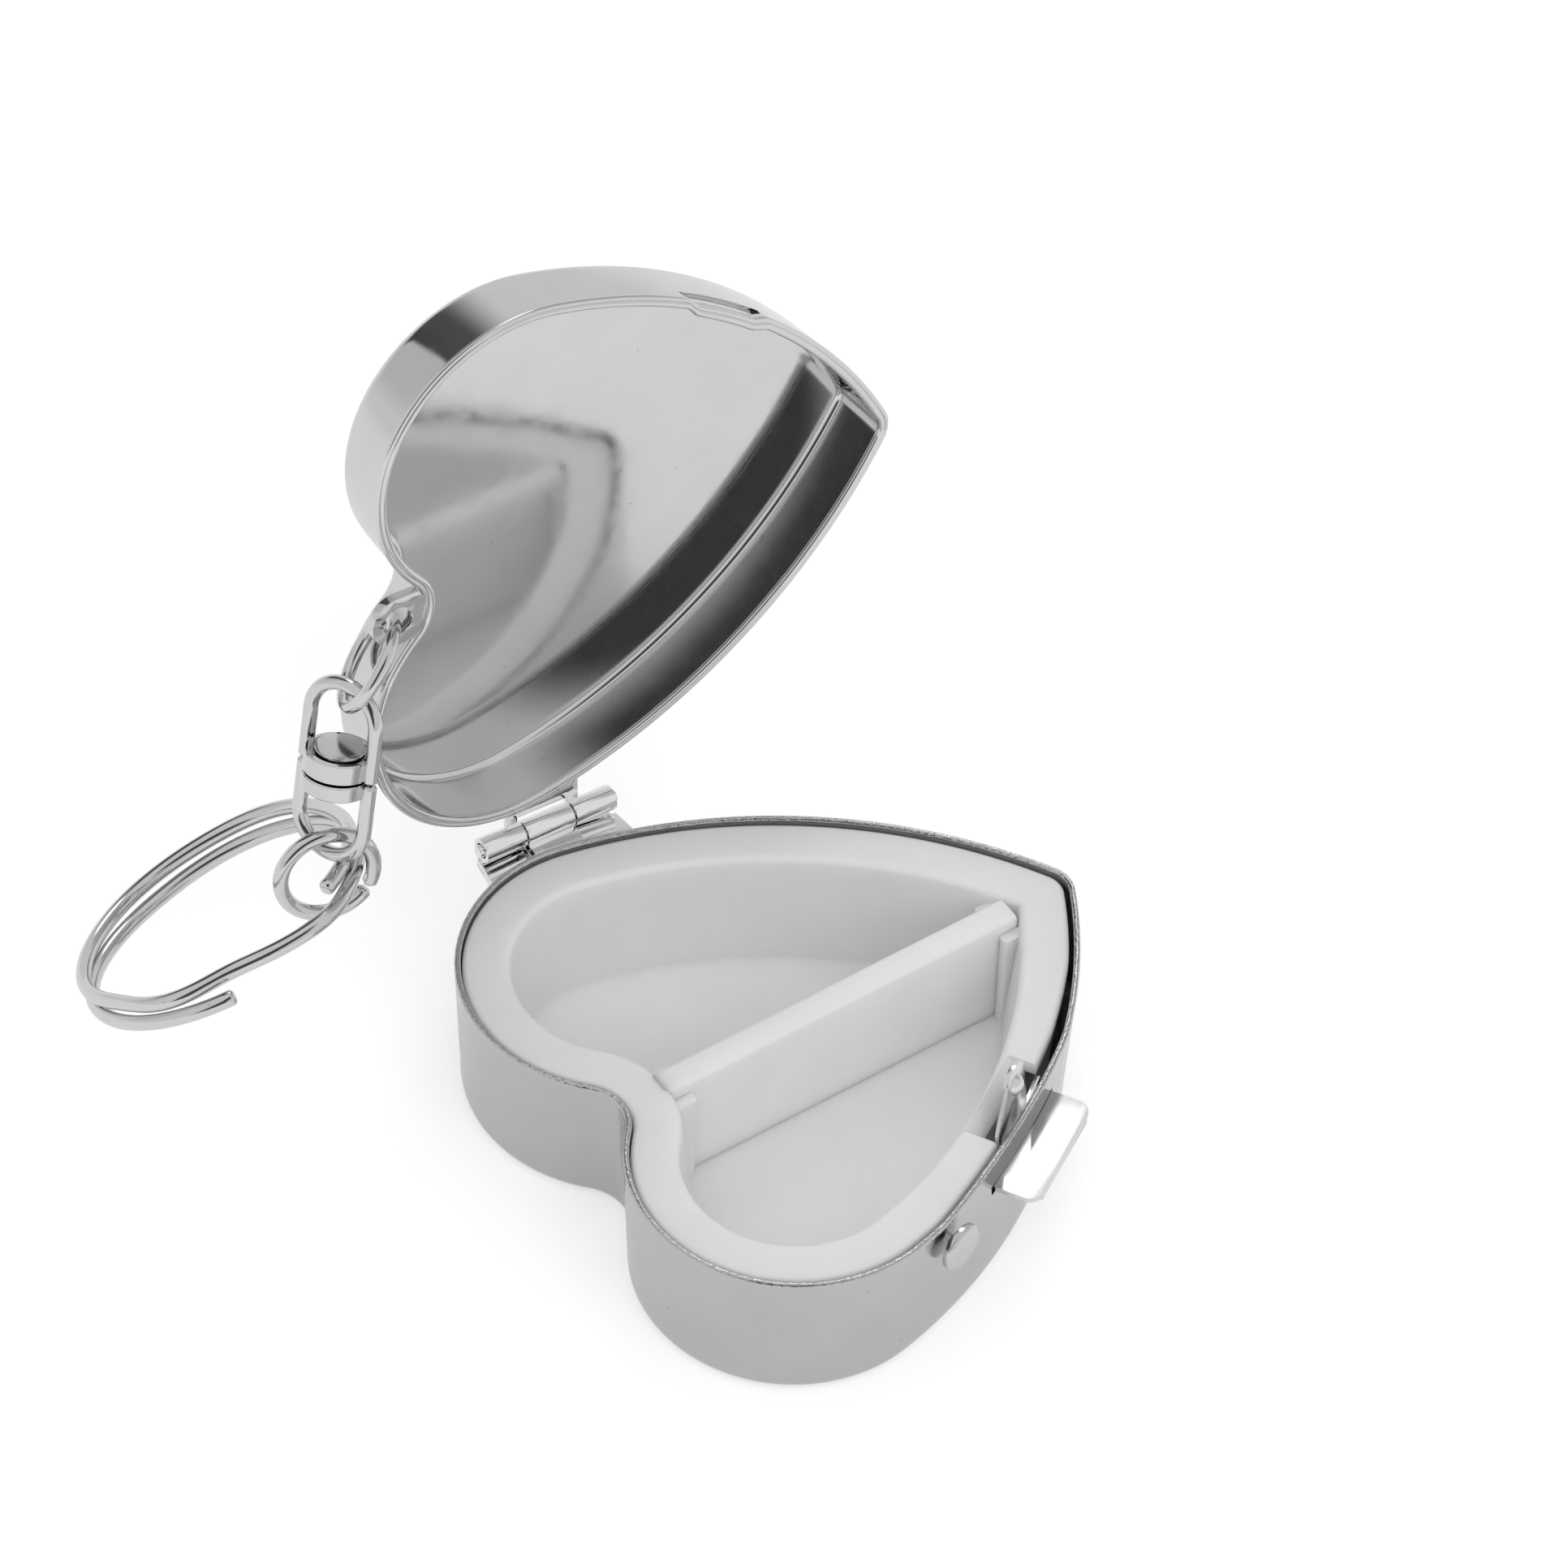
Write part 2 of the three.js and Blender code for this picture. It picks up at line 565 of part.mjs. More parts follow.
// Thumb tab: a plate with rounded outer corners and a lip along its outer edge
function thumbTab() {
  const half = TAB_LENGTH / 2;
  const root = stripInset + STRIP_THICKNESS / 2;
  const shape = new THREE.Shape();
  shape.moveTo(half, root);
  shape.lineTo(-half, root);
  shape.lineTo(-half, TAB_CORNER - TAB_REACH);
  shape.absarc(TAB_CORNER - half, TAB_CORNER - TAB_REACH, TAB_CORNER, Math.PI, Math.PI * 1.5, false);
  shape.absarc(half - TAB_CORNER, TAB_CORNER - TAB_REACH, TAB_CORNER, Math.PI * 1.5, Math.PI * 2, false);
  shape.lineTo(half, root);
  const plate = new THREE.ExtrudeGeometry(shape, { depth: TAB_THICKNESS, bevelEnabled: false, curveSegments: 4 });
  plate.translate(0, 0, tabLowZ);
  const lip = boxBetween(
    new THREE.Vector3(TAB_CORNER - half, -TAB_REACH, tabLowZ - TAB_LIP_DROP),
    new THREE.Vector3(half - TAB_CORNER, TAB_THICKNESS - TAB_REACH, tabTopZ - TAB_THICKNESS / 2),
  );
  return geometryOf(solidOf(plate).add(solidOf(lip)));
}

// Latch rivet: outer head, shank and tail, turned about the wall's normal
function latchRivet() {
  const shank = RIVET_SHANK_DIAMETER / 2;
  const headFrom = RIVET_STANDOFF;
  const headTo = headFrom + RIVET_HEAD_THICKNESS;
  const head = RIVET_HEAD_DIAMETER / 2;
  const tail = RIVET_TAIL_DIAMETER / 2;
  const tailFrom = -(stripInset + STRIP_THICKNESS + RIVET_GAP * 2);
  const profile = [
    [0, tailFrom - RIVET_TAIL_THICKNESS],
    [tail, tailFrom - RIVET_TAIL_THICKNESS],
    [tail, tailFrom],
    [shank, tailFrom],
    [shank, headFrom],
    [head, headFrom],
    [head, headTo - RIVET_HEAD_THICKNESS / 3],
    [head - RIVET_HEAD_THICKNESS / 3, headTo],
    [0, headTo],
  ].map(([radius, along]) => new THREE.Vector2(radius, along));
  const geometry = new THREE.LatheGeometry(profile, 20);
  geometry.rotateX(Math.PI).translate(0, 0, rivetZ);
  return inFrontFrame(geometry, RIVET_TURN_DEG);
}

// Hinge frame: local X along the pin, local Z up
const skew = rad(HINGE_SKEW_DEG);
const tilt = rad(HINGE_TILT_DEG);
const hingeAxis = new THREE.Vector3(
  Math.cos(skew) * Math.cos(tilt), Math.sin(skew) * Math.cos(tilt), Math.sin(tilt),
);
const hingeSide = new THREE.Vector3(0, 0, 1).cross(hingeAxis).normalize();
const hingeUp = new THREE.Vector3().crossVectors(hingeAxis, hingeSide);
const hingeMatrix = new THREE.Matrix4().makeBasis(hingeAxis, hingeSide, hingeUp).setPosition(hingeMiddle);
const hingeInverse = hingeMatrix.clone().invert();

function alongPin(radius, length, middle, sides) {
  return new THREE.CylinderGeometry(radius, radius, length, sides).rotateZ(Math.PI / 2).translate(middle, 0, 0);
}

const knuckleRadius = KNUCKLE_DIAMETER / 2;
const boreRadius = PIN_DIAMETER / 2 + PIN_GAP;
const outerMiddle = CENTRE_KNUCKLE / 2 + KNUCKLE_GAP + OUTER_KNUCKLE / 2;
const leafHalf = outerMiddle + OUTER_KNUCKLE / 2;
const wallReach = HINGE_REACH + LOBE_RADIUS / 3;

function hingePin() {
  return alongPin(PIN_DIAMETER / 2, PIN_LENGTH, 0, 16);
}

function pinBore() {
  return solidOf(alongPin(boreRadius, PIN_LENGTH * 2, 0, 16));
}

// Base leaf: slanted plate under the outer knuckles, web and centre knuckle
function baseHingeLeaf() {
  const topZ = -knuckleRadius - LEAF_SWING_GAP;
  const plan = new THREE.Shape();
  plan.moveTo(-leafHalf, knuckleRadius / 2);
  plan.lineTo(-leafHalf - LEAF_END_SLANT, -wallReach);
  plan.lineTo(leafHalf + LEAF_END_SLANT, -wallReach);
  plan.lineTo(leafHalf, knuckleRadius / 2);
  const plate = new THREE.ExtrudeGeometry(plan, { depth: BASE_LEAF_THICKNESS, bevelEnabled: false });
  plate.translate(0, 0, topZ - BASE_LEAF_THICKNESS);
  const web = boxBetween(
    new THREE.Vector3(-CENTRE_KNUCKLE / 2, -wallReach, topZ - BASE_LEAF_THICKNESS / 2),
    new THREE.Vector3(CENTRE_KNUCKLE / 2, 0, LEAF_THICKNESS - knuckleRadius),
  );
  const wall = heartPrism(-LEAF_WALL_GAP, BASE_HEIGHT - wallReach, -LEAF_WALL_GAP, lidTopZ).applyMatrix4(hingeInverse);
  return geometryOf(
    solidOf(plate)
      .add(solidOf(web))
      .add(solidOf(alongPin(knuckleRadius, CENTRE_KNUCKLE, 0, 20)))
      .subtract(pinBore())
      .subtract(solidOf(wall)),
  );
}

// Lid leaf, modelled closed: strip along the lid's wall, two arms and the outer knuckles
function lidHingeLeaf() {
  const highZ = knuckleRadius;
  const lowZ = knuckleRadius - LEAF_THICKNESS;
  const clearOfCentre = -knuckleRadius - LEAF_SWING_GAP;
  const armFrom = CENTRE_KNUCKLE / 2 + KNUCKLE_GAP;
  const armTo = armFrom + LEAF_ARM_WIDTH;
  const strip = boxBetween(
    new THREE.Vector3(-armTo, -wallReach, lowZ),
    new THREE.Vector3(armTo, clearOfCentre, highZ),
  );
  let leaf = solidOf(strip);
  for (const side of [-1, 1]) {
    const ends = [side * armFrom, side * armTo].sort((a, b) => a - b);
    const arm = boxBetween(new THREE.Vector3(ends[0], -wallReach, lowZ), new THREE.Vector3(ends[1], 0, highZ));
    leaf = leaf.add(solidOf(arm)).add(solidOf(alongPin(knuckleRadius, OUTER_KNUCKLE, side * outerMiddle, 20)));
  }
  const wall = heartPrism(-LEAF_WALL_GAP, lidRimZ - wallReach, -LEAF_WALL_GAP, lidTopZ).applyMatrix4(hingeInverse);
  return geometryOf(leaf.subtract(pinBore()).subtract(solidOf(wall)));
}

// Key lug, modelled with the lid closed
function keyLug() {
  const half = LUG_WIDTH / 2;
  const lowZ = lugMiddleZ - LUG_THICKNESS / 2;
  const plan = new THREE.Shape();
  plan.moveTo(lobeX, half);
  plan.lineTo(lugHoleX, half);
  plan.absarc(lugHoleX, 0, half, Math.PI / 2, Math.PI * 1.5, false);
  plan.lineTo(lobeX, -half);
  const hole = new THREE.Path();
  hole.absarc(lugHoleX, 0, LUG_HOLE_DIAMETER / 2, 0, Math.PI * 2, true);
  plan.holes.push(hole);
  const plate = new THREE.ExtrudeGeometry(plan, { depth: LUG_THICKNESS, bevelEnabled: false, curveSegments: 9 });
  plate.translate(0, 0, lowZ);
  const wall = heartPrism(-LUG_WALL_GAP, lidRimZ - LUG_THICKNESS, -LUG_WALL_GAP, lidTopZ);
  return geometryOf(solidOf(plate).subtract(solidOf(wall)));
}

// Round wire along a path of points
function wire(points, diameter, steps, sides) {
  const path = new THREE.CatmullRomCurve3(points, false, "centripetal");
  const section = new THREE.Shape();
  section.absarc(0, 0, diameter / 2, 0, Math.PI * 2, false);
  return new THREE.ExtrudeGeometry(section, {
    steps, extrudePath: path, curveSegments: sides / 2, bevelEnabled: false,
  });
}

// Matrix of a hanging link: local -Z runs down its length and local X across it
function hanging(pose, origin) {
  const heading = rad(pose.heading);
  const dip = rad(pose.dip);
  const turn = rad(pose.turn);
  const down = new THREE.Vector3(
    Math.cos(dip) * Math.cos(heading), Math.cos(dip) * Math.sin(heading), -Math.sin(dip),
  );
  const level = new THREE.Vector3(-Math.sin(heading), Math.cos(heading), 0);
  const other = new THREE.Vector3().crossVectors(down, level);
  const side = level.multiplyScalar(Math.cos(turn)).addScaledVector(other, Math.sin(turn));
  const up = down.clone().negate();
  return new THREE.Matrix4().makeBasis(side, new THREE.Vector3().crossVectors(up, side), up).setPosition(origin);
}

function lugRing() {
  const geometry = new THREE.TorusGeometry(LUG_RING_RADIUS, LUG_RING_WIRE / 2, 10, 36);
  return geometry.rotateX(Math.PI / 2).translate(0, 0, -LUG_RING_RADIUS);
}

// Arch of a bow about the origin, with straight arms down to its feet
function bowArch(footZ) {
  const points = [1, 0.66, 0.33].map((share) => new THREE.Vector3(BOW_RADIUS, 0, footZ * share));
  for (let k = 0; k <= 12; k += 1) {
    const angle = (k * Math.PI) / 12;
    points.push(new THREE.Vector3(BOW_RADIUS * Math.cos(angle), 0, BOW_RADIUS * Math.sin(angle)));
  }
  points.push(...[0.33, 0.66, 1].map((share) => new THREE.Vector3(-BOW_RADIUS, 0, footZ * share)));
  return wire(points, BOW_WIRE, 40, 10);
}

function swivelDisc(radius, fromZ, toZ) {
  return new THREE.CylinderGeometry(radius, radius, toZ - fromZ, 24)
    .rotateX(Math.PI / 2)
    .translate(0, 0, (fromZ + toZ) / 2);
}

const collarTopZ = -COLLAR_BELOW_ARCH;
const collarLowZ = collarTopZ - COLLAR_HEIGHT;
const plateTopZ = collarLowZ - SWIVEL_GAP;
const plateLowZ = plateTopZ - SWIVEL_PLATE_HEIGHT;
const swivelBore = SWIVEL_SHANK_DIAMETER / 2 + SWIVEL_GAP;

function swivelUpperBow() {
  const collar = swivelDisc(COLLAR_DIAMETER / 2, collarLowZ, collarTopZ);
  const head = swivelDisc(SWIVEL_HEAD_DIAMETER / 2 + SWIVEL_GAP, collarTopZ, BOW_RADIUS / 2);
  const bore = swivelDisc(swivelBore, collarLowZ - SWIVEL_GAP, collarTopZ + SWIVEL_GAP);
  return geometryOf(
    solidOf(bowArch(collarLowZ))
      .add(solidOf(collar))
      .subtract(solidOf(head))
      .subtract(solidOf(bore)),
  );
}

function swivelLowerBow() {
  const arch = bowArch(-(BOW_CENTRES + plateTopZ)).rotateX(Math.PI).translate(0, 0, -BOW_CENTRES);
  const plate = swivelDisc(COLLAR_DIAMETER / 2, plateLowZ, plateTopZ);
  const tail = swivelDisc(SWIVEL_TAIL_DIAMETER / 2 + SWIVEL_GAP, plateLowZ - BOW_RADIUS / 2, plateLowZ);
  const bore = swivelDisc(swivelBore, plateLowZ - SWIVEL_GAP, plateTopZ + SWIVEL_GAP);
  return geometryOf(solidOf(arch).add(solidOf(plate)).subtract(solidOf(tail)).subtract(solidOf(bore)));
}

function swivelRivet() {
  const headLow = collarTopZ + SWIVEL_GAP;
  const tailTop = plateLowZ - SWIVEL_GAP;
  return geometryOf(
    solidOf(swivelDisc(SWIVEL_SHANK_DIAMETER / 2, tailTop - SWIVEL_TAIL_THICKNESS / 2, headLow + SWIVEL_GAP))
      .add(solidOf(swivelDisc(SWIVEL_HEAD_DIAMETER / 2, headLow, headLow + SWIVEL_HEAD_THICKNESS)))
      .add(solidOf(swivelDisc(SWIVEL_TAIL_DIAMETER / 2, tailTop - SWIVEL_TAIL_THICKNESS, tailTop))),
  );
}

// Open jump ring hanging from its top
function lowerRing() {
  const points = [];
  const steps = 36;
  for (let k = 0; k <= steps; k += 1) {
    const sweep = LOWER_RING_CUT_DEG / 2 + ((360 - LOWER_RING_CUT_DEG) * k) / steps;
    const angle = rad(LOWER_RING_CUT_AT_DEG + sweep - 90);
    points.push(new THREE.Vector3(
      LOWER_RING_RADIUS * Math.cos(angle), 0, LOWER_RING_RADIUS * Math.sin(angle) - LOWER_RING_RADIUS,
    ));
  }
  return wire(points, LOWER_RING_WIRE, steps, 10);
}

// Split ring: one wire wound over its turns, its two strands level where it hangs
function splitRing() {
  const steps = Math.round(SPLIT_STEPS_PER_TURN * SPLIT_TURNS);
  const hangTurns = (SPLIT_START_DEG + 270) / 360 + 0.5;
  const points = [];
  for (let k = 0; k <= steps; k += 1) {
    const turned = rad(SPLIT_START_DEG) - (k / SPLIT_STEPS_PER_TURN) * Math.PI * 2;
    const along = (hangTurns - k / SPLIT_STEPS_PER_TURN) * SPLIT_PITCH;
    points.push(new THREE.Vector3(
      SPLIT_RADIUS * Math.cos(turned), along, SPLIT_RADIUS * Math.sin(turned) - SPLIT_RADIUS,
    ));
  }
  let least = Infinity;
  for (let a = 0; a < points.length; a += 1) {
    for (let b = a + SPLIT_STEPS_PER_TURN / 2; b < points.length; b += 1) {
      least = Math.min(least, points[a].distanceTo(points[b]) - SPLIT_WIRE);
    }
  }
  console.log(`split ring: least gap to itself ${least.toFixed(2)} mm`);
  return wire(points, SPLIT_WIRE, steps, 8);
}

// Assembly
const nickel = [0xc8c8c8, 0.16];
const bright = [0xd6d6d6, 0.12];
const model = new THREE.Group();

model.add(part("base_shell", baseShell(), metal(...nickel)));
model.add(part("liner_tray", linerTray(), plastic(0xf1f1ee, 0.45)));
model.add(part("divider", divider(), plastic(0xf4f4f1, 0.45)));
model.add(part("latch_spring", latchSpring(), metal(...bright)));
model.add(part("latch_rivet", latchRivet(), metal(...bright)));

function hingeGroup() {
  const group = new THREE.Group();
  group.applyMatrix4(hingeMatrix);
  return group;
}

const baseHinge = hingeGroup();
baseHinge.add(part("base_hinge_leaf", baseHingeLeaf(), metal(...nickel)));
baseHinge.add(part("hinge_pin", hingePin(), metal(...bright)));
model.add(baseHinge);

// The lid turns about the pin from closed to open
const lidTurn = new THREE.Matrix4()
  .makeTranslation(hingeMiddle)
  .multiply(new THREE.Matrix4().makeRotationAxis(hingeAxis, -rad(OPEN_DEG)))
  .multiply(new THREE.Matrix4().makeTranslation(hingeMiddle.clone().negate()));
const lid = new THREE.Group();
lid.applyMatrix4(lidTurn);
lid.add(part("lid_shell", lidShell(), metal(...nickel)));
lid.add(part("key_lug", keyLug(), metal(...bright)));
const lidHinge = hingeGroup();
lidHinge.add(part("lid_hinge_leaf", lidHingeLeaf(), metal(...nickel)));
lid.add(lidHinge);
model.add(lid);

// Each link of the chain hangs on the one above it
function link(name, geometry, matrix) {
  const mesh = part(name, geometry, metal(...bright));
  mesh.applyMatrix4(matrix);
  model.add(mesh);
}

function fromLink(matrix, x, z) {
  return new THREE.Vector3(x, 0, z).applyMatrix4(matrix);
}

const lugPlace = new THREE.Vector3(lugHoleX, 0, lugMiddleZ).applyMatrix4(lidTurn);
const lugRingPlace = hanging(LUG_RING_POSE, fromLink(hanging(LUG_RING_POSE, lugPlace), 0, -LUG_RING_SAG));
const archReach = BOW_RADIUS - BOW_WIRE / 2 - LUG_RING_WIRE / 2 - LINK_GAP;
const inBow = rad(LUG_RING_IN_BOW_DEG);
const lugRingLow = fromLink(lugRingPlace, 0, -2 * LUG_RING_RADIUS);
const swivelTurned = hanging(SWIVEL_POSE, new THREE.Vector3());
const archFromLink = fromLink(swivelTurned, -archReach * Math.cos(inBow), -archReach * Math.sin(inBow));
const swivelPlace = hanging(SWIVEL_POSE, lugRingLow.clone().add(archFromLink));
const bowReach = BOW_RADIUS - BOW_WIRE / 2 - LOWER_RING_WIRE / 2 - LINK_GAP;
const lowerRingPlace = hanging(LOWER_RING_POSE, fromLink(swivelPlace, 0, -BOW_CENTRES - bowReach));
const ringReach = LOWER_RING_RADIUS - LOWER_RING_WIRE / 2 - SPLIT_WIRE / 2 - SPLIT_LINK_GAP;
const inRing = rad(SPLIT_IN_RING_DEG);
const splitTop = fromLink(
  lowerRingPlace, ringReach * Math.sin(inRing), -LOWER_RING_RADIUS - ringReach * Math.cos(inRing),
);

link("lug_ring", lugRing(), lugRingPlace);
link("swivel_upper_bow", swivelUpperBow(), swivelPlace);
link("swivel_rivet", swivelRivet(), swivelPlace);
link("swivel_lower_bow", swivelLowerBow(), swivelPlace);
link("lower_ring", lowerRing(), lowerRingPlace);
link("split_ring", splitRing(), hanging(SPLIT_POSE, splitTop));

export default model;
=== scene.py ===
# Looks of a heart-shaped pill case: polished nickel shells, white liner, sprung latch and key chain.
# Sizes are in millimetres, as in the part's source, and become metres where a mesh is made.

import math

import bmesh
import bpy
from mathutils import Matrix, Vector


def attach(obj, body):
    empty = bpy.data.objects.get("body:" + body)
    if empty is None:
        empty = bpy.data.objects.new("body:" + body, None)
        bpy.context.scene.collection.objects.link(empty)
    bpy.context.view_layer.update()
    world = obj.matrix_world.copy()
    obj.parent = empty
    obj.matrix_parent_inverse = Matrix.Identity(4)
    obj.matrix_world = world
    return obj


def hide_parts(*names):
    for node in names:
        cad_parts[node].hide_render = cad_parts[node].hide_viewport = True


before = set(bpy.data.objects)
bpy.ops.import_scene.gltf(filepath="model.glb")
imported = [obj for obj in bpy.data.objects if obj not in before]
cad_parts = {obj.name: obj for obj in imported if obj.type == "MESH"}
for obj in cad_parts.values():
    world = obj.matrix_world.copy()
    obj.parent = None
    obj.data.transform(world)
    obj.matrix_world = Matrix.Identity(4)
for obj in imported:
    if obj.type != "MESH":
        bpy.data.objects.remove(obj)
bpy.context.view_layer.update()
MM = 0.001

# Heart outline of the base
HEART_WIDTH = 50.0
LOBE_RADIUS = 13.3
SIDE_RADIUS = 46.5
SIDE_START_DEG = 11.6
TIP_RADIUS = 2.85
CLEFT_RADIUS = 3.6
TIP_STEPS = 14
SIDE_STEPS = 70
LOBE_STEPS = 90
CLEFT_STEPS = 26

# Pressed shells
BASE_HEIGHT = 13.6
BASE_DRAFT = 0.7
BASE_CORNER = 1.4
LID_HEIGHT = 6.15
LID_DRAFT = 0.4
LID_CORNER = 1.1
LID_WALL_BEND = 2.0
WALL = 0.45
BASE_RIM_WIDTH = 0.52
HEM_OUT = 0.15
HEM_OUTER_RADIUS = 0.25
HEM_INNER_RADIUS = 0.33
HEM_STEP = 0.42
RIM_GAP = 0.25
LID_WALL_FROM = 1.43
CORNER_STEPS = 9
RIM_STEPS = 16
BASE_LEVELS = 12
LID_LEVELS = 9
FLAT_MARGIN = 0.25
DENT_DEPTH = 0.64
DENT_FROM_X = -5.0
DENT_TO_X = 14.0
DENT_LOW_Z = 7.5

# Liner and divider
LINER_TOP_BELOW_RIM = 0.3
LINER_SIDE_GAP = 0.3
LINER_SEAT_GAP = 0.1
FLANGE_WIDTH = 3.8
FLANGE_THICKNESS = 1.2
LINER_WALL = 0.9
LINER_FLOOR = 2.05
LINER_INNER_DRAFT = 1.0
LINER_EDGE_ROUND = 0.45
LINER_INNER_EDGE_ROUND = 0.6
LINER_FLOOR_ROUND = 0.4
INNER_TIP_RADIUS = 0.4
DIVIDER_THICKNESS = 2.4
DIVIDER_EDGE_ROUND = 0.45
DIVIDER_GAP = 0.06
DIVIDER_END_GAP = 0.04
DIVIDER_SEAT_GAP = 0.02
RIB_THICKNESS = 0.9
RIB_REACH = 1.7
RIB_ROUND = 0.2
RIB_TOP_BELOW_LINER = 0.9
LINER_SHIFT = Vector((-0.08, 0.12, 0))
RELIEF_DEPTH = 0.55
RELIEF_FROM_X = 5.0
RELIEF_TO_X = 19.0
LINER_LEVELS = 7
EDGE_STEPS = 6
INNER_EDGE_STEPS = 10
FLOOR_ROUND_STEPS = 8
SOFT_SEGMENTS = 4

# Latch, its slit and the catch lip
LATCH_TURN_DEG = 31.0
RIVET_TURN_DEG = 16.6
STRIP_GAP = 0.3
STRIP_HEIGHT = 2.3
TAB_LENGTH = 10.9
TAB_REACH = 2.9
TAB_THICKNESS = 0.5
TAB_BELOW_RIM = 2.5
SLIT_GAP = 0.3
SLIT_TOP_GAP = 0.08
NOTCH_FROM_X = -3.05
NOTCH_TO_X = 5.6
RAMP_FOOT_IN = 2.95
RAMP_TOP_IN = 4.25
RAMP_TOP_BELOW_LINER = 0.15
RAMP_FOOT_BELOW_FLANGE = 0.24
RIVET_SHANK_DIAMETER = 1.1
RIVET_GAP = 0.12
LIP_LENGTH = 9.0
LIP_ALONG = 1.6
LIP_HEIGHT = 1.0
LIP_DEPTH = 0.5
LIP_SLIT = 0.4
HOLE_SIDES = 24

# Hinge axis and the lid's opening
HINGE_REACH = 2.1
HINGE_DROP = 0.05
HINGE_MIDDLE_X = -7.6
HINGE_SKEW_DEG = -2.6
HINGE_TILT_DEG = -1.7
OPEN_DEG = 95.8

# Lug and chain links
LUG_THICKNESS = 0.8
LUG_HOLE_FROM_CLEFT = 2.9
LUG_ABOVE_RIM = -0.3
LUG_RING_RADIUS = 3.85
LUG_RING_WIRE = 1.1
LUG_RING_SAG = 0.3
BOW_RADIUS = 3.1
BOW_WIRE = 1.2
BOW_CENTRES = 8.8
COLLAR_DIAMETER = 5.6
COLLAR_HEIGHT = 1.2
COLLAR_BELOW_ARCH = 3.2
COLLAR_RIM_WIDTH = 0.5
COLLAR_RIM_HEIGHT = 0.55
COLLAR_EASE = 0.12
SWIVEL_PLATE_HEIGHT = 0.8
SWIVEL_GAP = 0.2
SWIVEL_SHANK_DIAMETER = 1.8
LOWER_RING_RADIUS = 3.8
LOWER_RING_WIRE = 1.25
LOWER_RING_CUT_DEG = 14.0
LOWER_RING_CUT_AT_DEG = 298.0
SPLIT_RADIUS = 12.1
SPLIT_WIRE = 1.0
SPLIT_PITCH = 1.35
SPLIT_TURNS = 1.85
SPLIT_START_DEG = 17.0
SPLIT_WIRE_SEEN = 1.2
SPLIT_WIRE_FLAT = 1.1
SPLIT_STEPS_PER_TURN = 120
LINK_GAP = 0.3
SPLIT_LINK_GAP = 0.8
LUG_RING_POSE = (180.0, 54.0, 34.0)
SWIVEL_POSE = (219.0, 71.5, 19.5)
LOWER_RING_POSE = (219.5, 79.0, 145.5)
SPLIT_POSE = (141.5, 31.5, 15.5)
LUG_RING_IN_BOW_DEG = 94.0
SPLIT_IN_RING_DEG = -107.0
WIRE_SIDES = 20
DOME_FLATNESS = 3
DOME_TAPER = 0.7
RING_STEPS = 72
ARM_STEPS = 8
ARCH_STEPS = 36
COLLAR_SIDES = 64
BORE_SIDES = 32

# Bends of the split ring's wire: the middle in turns, the width in turns and the size
SPLIT_BENDS = (
    (0.42, 0.1, -0.9),
    (0.87, 0.045, 0.8),
    (0.99, 0.06, -1.5),
    (1.14, 0.06, -0.7),
    (1.57, 0.07, 0.7),
)

# Angles between faces above which an edge stays sharp
SHELL_SHARP_DEG = 40
LINER_SHARP_DEG = 35
BOW_SHARP_DEG = 35
RING_SHARP_DEG = 60
OPEN_RING_SHARP_DEG = 50

# Eased edges of the pieces that keep their CAD mesh
WELD_REACH = 0.001
EASE = 0.08
LATCH_EASE = 0.07
RIVET_EASE = 0.05
EASE_SEGMENTS = 3
EASE_FROM_DEG = 40
SMOOTH_BELOW_DEG = 35

# Camera of the photograph
CAMERA_TARGET = Vector((8.54, 17.547, 17.423))
CAMERA_DISTANCE = 862.45
CAMERA_AZIMUTH_DEG = -36.835
CAMERA_ELEVATION_DEG = 47.725
CAMERA_ROLL_DEG = -2.699
CAMERA_LENS = 250.77
CAMERA_SENSOR = 36.0
CAMERA_NEAR = 10
CAMERA_FAR = 50000

# Nickel finishes: grey, smoothest and roughest finish, depth of the slow waves and of the fine grain. The
# greys are partly each part's own tone and partly painted light and shade: the hinge's grey is raised to
# paint its highlights, and the case, rivet and chain greys are lowered to paint their shade.
CASE_NICKEL = (0.55, 0.12, 0.22, 0.03, 0.0008)
LID_NICKEL = (0.69, 0.06, 0.11, 0.02, 0.0004)
HINGE_NICKEL = (0.92, 0.03, 0.09, 0.01, 0.001)
LATCH_NICKEL = (0.74, 0.14, 0.24, 0.01, 0.001)
RIVET_NICKEL = (0.62, 0.1, 0.2, 0.01, 0.001)
CHAIN_NICKEL = (0.67, 0.03, 0.09, 0.01, 0.001)
CASE_STREAK = 0.12
CLOUDED_SHARE = 0.96

# Wear of the metal
PIT_FROM = 0.73
PIT_FULL = 0.8
PIT_SHARE = 0.4
RIM_WEAR = 0.12
RIM_WORN_FINISH = 0.14

# Plastic of the liner and divider
PLASTIC_TONE = (0.85, 0.88)
PLASTIC_FINISH = (0.42, 0.55)
PLASTIC_GRAIN = 0.004
GLOW_SHARE = 0.5
GLOW_REACH = 2.5

# Light of the tent, its key panel and its fill panel
TENT_LEVEL = 0.95
KEY_LEVEL = 3.2
KEY_TOWARD = Vector((0.4, 0.54, 0.74))
KEY_ANGLES_DEG = (9, 14)
FILL_LEVEL = 1.3
FILL_TOWARD = Vector((-0.25, -0.62, 0.74))
FILL_DISTANCE = 900
FILL_SIDE = 800

# Floor
FLOOR_REACH = 4000
FLOOR_DROP = 0.02
FLOOR_GREY = 0.8
FLOOR_FINISH = 0.9
FLOOR_LIFT = 0.45
FLOOR_LIFT_IN_METAL = 0.25

